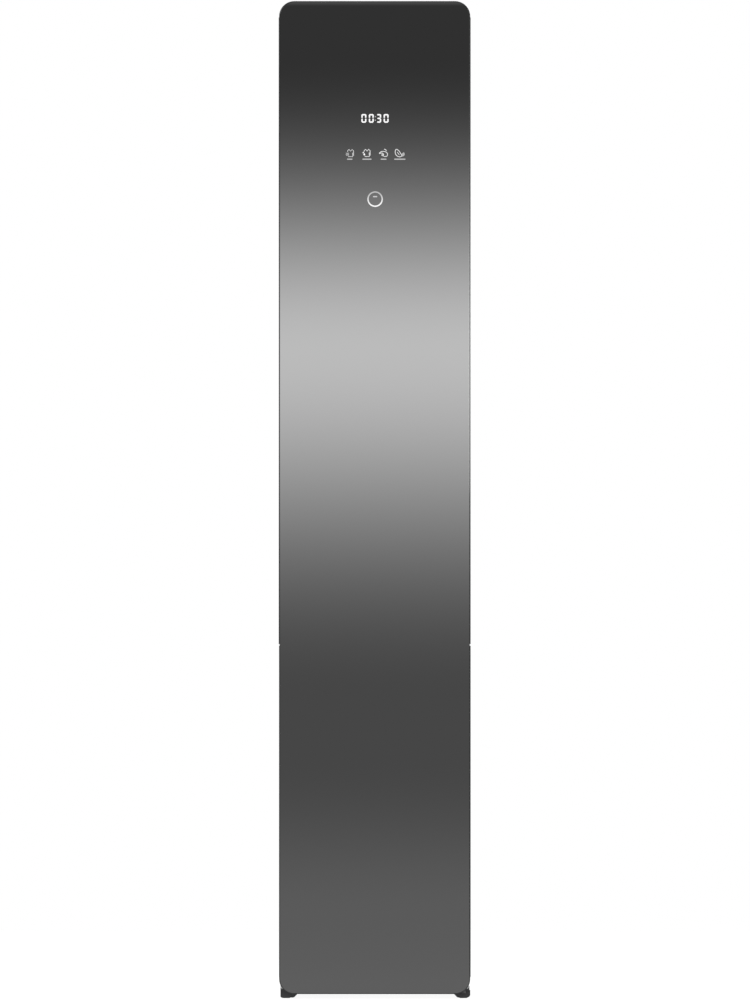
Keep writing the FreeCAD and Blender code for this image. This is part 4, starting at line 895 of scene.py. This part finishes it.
def makeGrips():
    # the ribs keep a collar from sliding off
    start, _, end = grips["edge"]
    centre, radius = circleThrough(*grips["edge"])
    first = math.atan2(start[1] - centre[1], start[0] - centre[0])
    last = math.atan2(end[1] - centre[1], end[0] - centre[0])
    low, high = grips["span"]
    for name, x in grips["hangers"].items():
        shape = bmesh.new()
        for side in (-1, 1):
            for i in range(grips["count"]):
                share = low + (high - low) * i / (grips["count"] - 1)
                addRib(shape, x, side, centre, radius, first + (last - first) * share)
        addPiece("shoulderRibs." + name, asMesh(shape, "shoulderRibs"), "gripRubber", name)


# fill marks on the tanks

fillMarks = {
    "middle": {"supply_tank": -0.074, "drain_tank": 0.067},
    "heights": (0.104, 0.122, 0.140, 0.158, 0.176, 0.194),
    "half": (0.0075, 0.0125),  # short and long marks by turns
    "thick": 0.0005,
    "proud": 0.0004,
    "sink": 0.0001,
}


def makeFillMarks():
    thick = fillMarks["thick"]
    for tank, middle in fillMarks["middle"].items():
        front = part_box(tank)[0][1]
        bars = []
        for i, z in enumerate(fillMarks["heights"]):
            half = fillMarks["half"][i % 2]
            bars.append(roundedOutline(middle - half, middle + half, z - thick, z + thick, thick * 0.98, 4))
        mesh = plateMesh("fillMarks", bars, front - fillMarks["proud"], front + fillMarks["sink"])
        addPiece("fillMarks." + tank, mesh, "markGrey", tank)


# ribs behind the press board

pressRibs = {
    "face": -0.2485,  # front of the back plate
    "proud": 0.0011,
    "side": (-0.100, 0.100),
    "low": 0.846,
    "pitch": 0.0305,
    "count": 19,
    "half": 0.0021,
    # share of the height and inset, from a little inside the plate to the crown
    "layers": [(-0.09, 0.0), (0.45, 0.0), (0.8, 0.0004), (1.0, 0.0011)],
}


def makePressRibs():
    # soft rounded ribs that hold the cloth against the board
    shape = bmesh.new()
    left, right = pressRibs["side"]
    for i in range(pressRibs["count"]):
        z = pressRibs["low"] + i * pressRibs["pitch"]
        rows = []
        for level, inset in pressRibs["layers"]:
            half = pressRibs["half"] - inset
            y = pressRibs["face"] + pressRibs["proud"] * level
            loop = roundedOutline(left + inset, right - inset, z - half, z + half, half * 0.98, 4)
            rows.append(addRow(shape, [(x, y, up) for x, up in loop]))
        joinRows(shape, rows)
        closeEnds(shape, rows)
    addPiece("pressRibs", asMesh(shape, "pressRibs"), "ribSilicone", "door")


# rubber ring in the hole where a drain hose would leave

grommet = {
    "place": (0.120, 0.070),
    "steps": 40,
    # radius and place from front to back, in millimetres: a lip on each side of the sheet
    "section": [
        (8.6, 290.1), (8.6, 291.6), (9.0, 292.1), (9.8, 292.35), (12.6, 292.2), (13.6, 291.8),
        (13.8, 291.22), (10.95, 291.22), (10.95, 290.1),
    ],
}


def makeGrommet():
    shape = bmesh.new()
    rows = []
    for radius, y in grommet["section"]:
        loop = circle(*grommet["place"], radius / 1000, grommet["steps"])
        rows.append(addRow(shape, [(x, y / 1000, z) for x, z in loop]))
    joinRows(shape, rows, wrap=True, smooth=True)
    addPiece("drainGrommet", asMesh(shape, "drainGrommet"), "grommetBlack", "cabinet")


makePane()
makeGrips()
makeFillMarks()
makePressRibs()
makeGrommet()
makeSeal()
makeScrewHeads()
makeFilterCloth()
makeInletPins()
print("glass, seal and small fittings made")


# lit marks behind the glass

marks = {
    "front": -0.2925,
    "back": -0.2924,
    "digitLow": 1.6244,
    "digitHigh": 1.6406,
    "digits": [
        ("0", -0.0247, -0.0153), ("0", -0.0109, -0.0016), ("3", 0.0034, 0.0121), ("0", 0.0165, 0.0259),
    ],
    "segments": {"0": "abcdef", "3": "abcdg"},
    "segment": 0.0026,
    "gap": 0.0009,
    "colonX": 0.0013,
    "colon": [1.6358, 1.6291],
    "colonRadius": 0.0011,
    "captionHigh": 1.5579,
    "captionLow": 1.5558,
    "captionCorner": 0.0009,
    "captions": [(-0.0512, -0.0412), (-0.0228, -0.0059), (0.0111, 0.0219), (0.0363, 0.0571)],
    "ringX": 0.0008,
    "ringZ": 1.4828,
    "ringRadius": 0.0132,
    "ringWide": 0.0024,
    "startHalf": 0.0040,
    "startRise": (0.0034, 0.0058),
    "startCorner": 0.0011,
}


def addPlates(name, outlines, finish):
    mesh = plateMesh(name.split(".")[0], outlines, marks["front"], marks["back"])
    addPiece(name, mesh, finish, "door")


def addStrokes(name, lines, finish):
    mesh = strokeMesh(name, lines, marks["front"], marks["back"])
    addPiece(name, mesh, finish, "door")


def segment(kind, left, right, low, high):
    # one bar of a digit, with its ends cut by shares of half its width
    wide = marks["segment"]
    gap = marks["gap"]
    middle = (low + high) / 2
    half = wide / 2
    if kind in "adg":
        z = {"a": high - half, "d": low + half, "g": middle}[kind]
        inset = wide * 0.7 if kind == "g" else gap + half * 0.4
        x0, x1 = left + inset, right - inset
        return [
            (x0 - half * 0.4, z), (x0 + half * 0.5, z - half), (x1 - half * 0.5, z - half),
            (x1 + half * 0.4, z), (x1 - half * 0.5, z + half), (x0 + half * 0.5, z + half),
        ]
    x = left + half if kind in "ef" else right - half
    z0, z1 = (middle + gap, high - half) if kind in "bf" else (low + half, middle - gap)
    return [
        (x, z0 - half * 0.1), (x + half, z0 + half * 0.6), (x + half, z1 - half * 0.3),
        (x, z1 + half * 0.7), (x - half, z1 - half * 0.3), (x - half, z0 + half * 0.6),
    ]


def makeClock():
    low, high = marks["digitLow"], marks["digitHigh"]
    for i, (sign, left, right) in enumerate(marks["digits"]):
        outlines = [segment(kind, left, right, low, high) for kind in marks["segments"][sign]]
        addPlates("clockDigit." + str(i + 1), outlines, "glowWhite")
    dots = [circle(marks["colonX"], z, marks["colonRadius"], 12) for z in marks["colon"]]
    addPlates("clockColon", dots, "glowCaption")


# places are in metres, and lines in millimetres from there
icons = {
    "line": 0.00125,
    "fine": 0.9,  # share of the line's width
    "faint": 0.62,
    "smooth": 6,
    "openShirt": [
        (-3.8, -9.0), (-4.0, -10.2), (4.0, -10.2), (3.8, -3.0), (4.0, -8.0), (5.5, -8.3), (5.5, 0.7),
        (2.9, 3.2), (0.0, 0.0), (-2.9, 3.2), (-5.5, 0.7), (-5.5, -1.2),
    ],
    "steamPlace": (-0.0447, 1.5717),
    "steamFrom": (-8.2, -6.1, -4.0),
    "steam": [(0.0, -8.6), (0.7, -7.2), (-0.1, -5.8), (0.6, -4.2), (0.0, -2.8)],
    "dropPlace": (-0.0140, 1.5720),
    "drops": [(-7.2, -3.2, 1.1), (-5.2, -6.6, 1.6)],
    "airPlace": (0.0154, 1.5682),
    "air": [
        [(-7.3, -0.9), (-3.3, 2.6), (4.0, 2.6), (8.1, -0.9), (7.7, -5.1), (4.0, -6.5), (0.8, -5.1)],
        [(-7.3, -0.9), (-1.7, 0.0), (1.7, -2.8)],
        [(2.0, 7.2), (5.0, 6.3), (6.2, 4.0)],
    ],
    "airEye": (-0.8, -3.7, 1.4),
    "leafPlace": (0.0474, 1.5682),
    "leaf": [
        (-7.4, 7.0), (-2.9, 4.6), (0.9, -0.9), (2.9, -4.6), (0.0, -7.0), (-4.8, -6.0), (-8.7, -1.9),
        (-9.2, 3.7),
    ],
    "vein": [(-5.6, 1.9), (-3.6, -0.8), (-1.9, -3.2)],
    "smallLeaf": [(1.9, -5.6), (2.8, -1.9), (6.5, 1.4), (8.3, -1.9), (7.4, -4.6), (3.7, -6.5)],
}


def flowing(points, closed=False):
    # a smooth line through the points
    count = len(points)
    steps = icons["smooth"]
    made = []
    for i in range(count if closed else count - 1):
        near = [(i + k) % count if closed else min(max(i + k, 0), count - 1) for k in (-1, 0, 1, 2)]
        a, b, c, d = [Vector(points[k]) for k in near]
        for k in range(steps):
            t = k / steps
            square = (a * 2 - b * 5 + c * 4 - d) * t * t / 2
            cube = (b * 3 - a - c * 3 + d) * t ** 3 / 2
            spot = b + (c - a) * t / 2 + square + cube
            made.append((spot.x, spot.y))
    if not closed:
        made.append(points[-1])
    return made


def placed(points, place):
    return [(place[0] + x / 1000, place[1] + z / 1000) for x, z in points]


def makeIcons():
    line = icons["line"]
    fine, faint = line * icons["fine"], line * icons["faint"]

    place = icons["steamPlace"]
    steam = [(placed(icons["openShirt"], place), line, False)]
    for start in icons["steamFrom"]:
        rising = [(start + x, z) for x, z in icons["steam"]]
        steam.append((placed(flowing(rising), place), faint, False))
    addStrokes("iconSteam", steam, "glowFaint")

    place = icons["dropPlace"]
    addStrokes("iconDrops", [(placed(icons["openShirt"], place), line, False)], "glowSoft")
    drops = []
    for x, z, size in icons["drops"]:
        drops.append(placed(arc(x, z, size, -210, 30, 12) + [(x, z + size * 2)], place))

    place = icons["airPlace"]
    air = [(placed(flowing(points), place), line, False) for points in icons["air"]]
    air.append((placed(circle(*icons["airEye"], 12), place), fine, True))
    addStrokes("iconAir", air, "glowSoft")

    place = icons["leafPlace"]
    leaf = (placed(flowing(icons["leaf"], True), place), line, True)
    vein = (placed(flowing(icons["vein"]), place), fine, False)
    addStrokes("iconLeaves", [leaf, vein], "glowSoft")
    addPlates("iconDropMarks", drops, "glowWhite")
    addPlates("iconSmallLeaf", [placed(flowing(icons["smallLeaf"], True), place)], "glowDim")


def makeCaptions():
    # plain generic bars that stand where captions would be
    low, high = marks["captionLow"], marks["captionHigh"]
    corner = marks["captionCorner"]
    bars = [roundedOutline(left, right, low, high, corner, 4) for left, right in marks["captions"]]
    addPlates("captionBars", bars, "glowCaption")


def makeStartRing():
    x, z = marks["ringX"], marks["ringZ"]
    addStrokes("startRing", [(circle(x, z, marks["ringRadius"], 64), marks["ringWide"], True)], "glowRing")
    half = marks["startHalf"]
    low, high = marks["startRise"]
    bar = roundedOutline(x - half, x + half, z + low, z + high, marks["startCorner"], 4)
    addPlates("startMark", [bar], "glowMark")


makeClock()
makeIcons()
makeCaptions()
makeStartRing()
print("lit marks made")


# stage, light and camera

studio = {
    "floorHalf": 9.0,
    "floorGreys": [(0.09, 0.09, 0.09), (0.11, 0.11, 0.11)],
    "floorGlow": 0.93,
    "background": 1.0,
    "ambient": 0.5,
    # name, place, what it aims at, size and power
    "lights": [
        ("keyLight", (-3.2, -2.6, 3.4), (0, 0, 0.9), (2.4, 2.4), 150),
        ("fillLight", (3.6, -1.8, 2.2), (0, 0, 0.9), (2.0, 2.6), 60),
        ("backLight", (0.6, 3.6, 3.0), (0, 0, 1.0), (2.4, 2.0), 80),
    ],
    "distance": 60.0,  # from the camera to the glass
    "glassFront": -0.2925,
    "frameHigh": 1.8545,
    "aimX": 0.0006,
    "aimZ": 0.9248,
    "sensor": 36.0,
    "farthest": 400.0,
}


def makeFloor():
    paint = Paint("paleFloor")
    material = paint.finish({
        "Base Color": paint.mix(paint.noise(0.8, 2.0), *studio["floorGreys"]),
        "Roughness": 0.9,
        "Specular IOR Level": 0.1,
        "Emission Color": (1.0, 1.0, 1.0),
        "Emission Strength": studio["floorGlow"],
    })
    half = studio["floorHalf"]
    mesh = bpy.data.meshes.new("floor")
    corners = [(-half, -half, 0), (half, -half, 0), (half, half, 0), (-half, half, 0)]
    mesh.from_pydata(corners, [], [(0, 1, 2, 3)])
    floor = bpy.data.objects.new("floor", mesh)
    bpy.context.scene.collection.objects.link(floor)
    mesh.materials.append(material)


def makeWorld():
    # reflections see the full background, and soft light is dimmer
    world = bpy.data.worlds.new("studio")
    bpy.context.scene.world = world
    paint = Paint("studio", world)
    camera = paint.node("ShaderNodeLightPath", out="Is Camera Ray")
    glossy = paint.node("ShaderNodeLightPath", out="Is Glossy Ray")
    seen = paint.math("MAXIMUM", camera, glossy)
    levels = {"Value": seen, "To Min": studio["ambient"], "To Max": studio["background"]}
    bright = paint.node("ShaderNodeMapRange", None, levels)
    sky = paint.node("ShaderNodeBackground", None, {"Color": (1, 1, 1), "Strength": bright})
    paint.node("ShaderNodeOutputWorld", None, {"Surface": sky})


def addLight(name, place, aim, size, power):
    data = bpy.data.lights.new(name, "AREA")
    data.shape = "RECTANGLE"
    data.size, data.size_y = size
    data.energy = power
    light = bpy.data.objects.new(name, data)
    bpy.context.scene.collection.objects.link(light)
    light.location = place
    light.rotation_euler = (Vector(aim) - Vector(place)).to_track_quat("-Z", "Y").to_euler()


def makeCamera():
    data = bpy.data.cameras.new("camera")
    data.sensor_width = studio["sensor"]
    data.lens = studio["sensor"] * studio["distance"] / studio["frameHigh"]
    data.clip_end = studio["farthest"]
    camera = bpy.data.objects.new("camera", data)
    bpy.context.scene.collection.objects.link(camera)
    camera.location = (studio["aimX"], studio["glassFront"] - studio["distance"], studio["aimZ"])
    camera.rotation_euler = (math.radians(90), 0, 0)
    bpy.context.scene.camera = camera


makeFloor()
makeWorld()
for light in studio["lights"]:
    addLight(*light)
makeCamera()
bpy.context.scene.view_settings.view_transform = "Standard"
print("stage set")
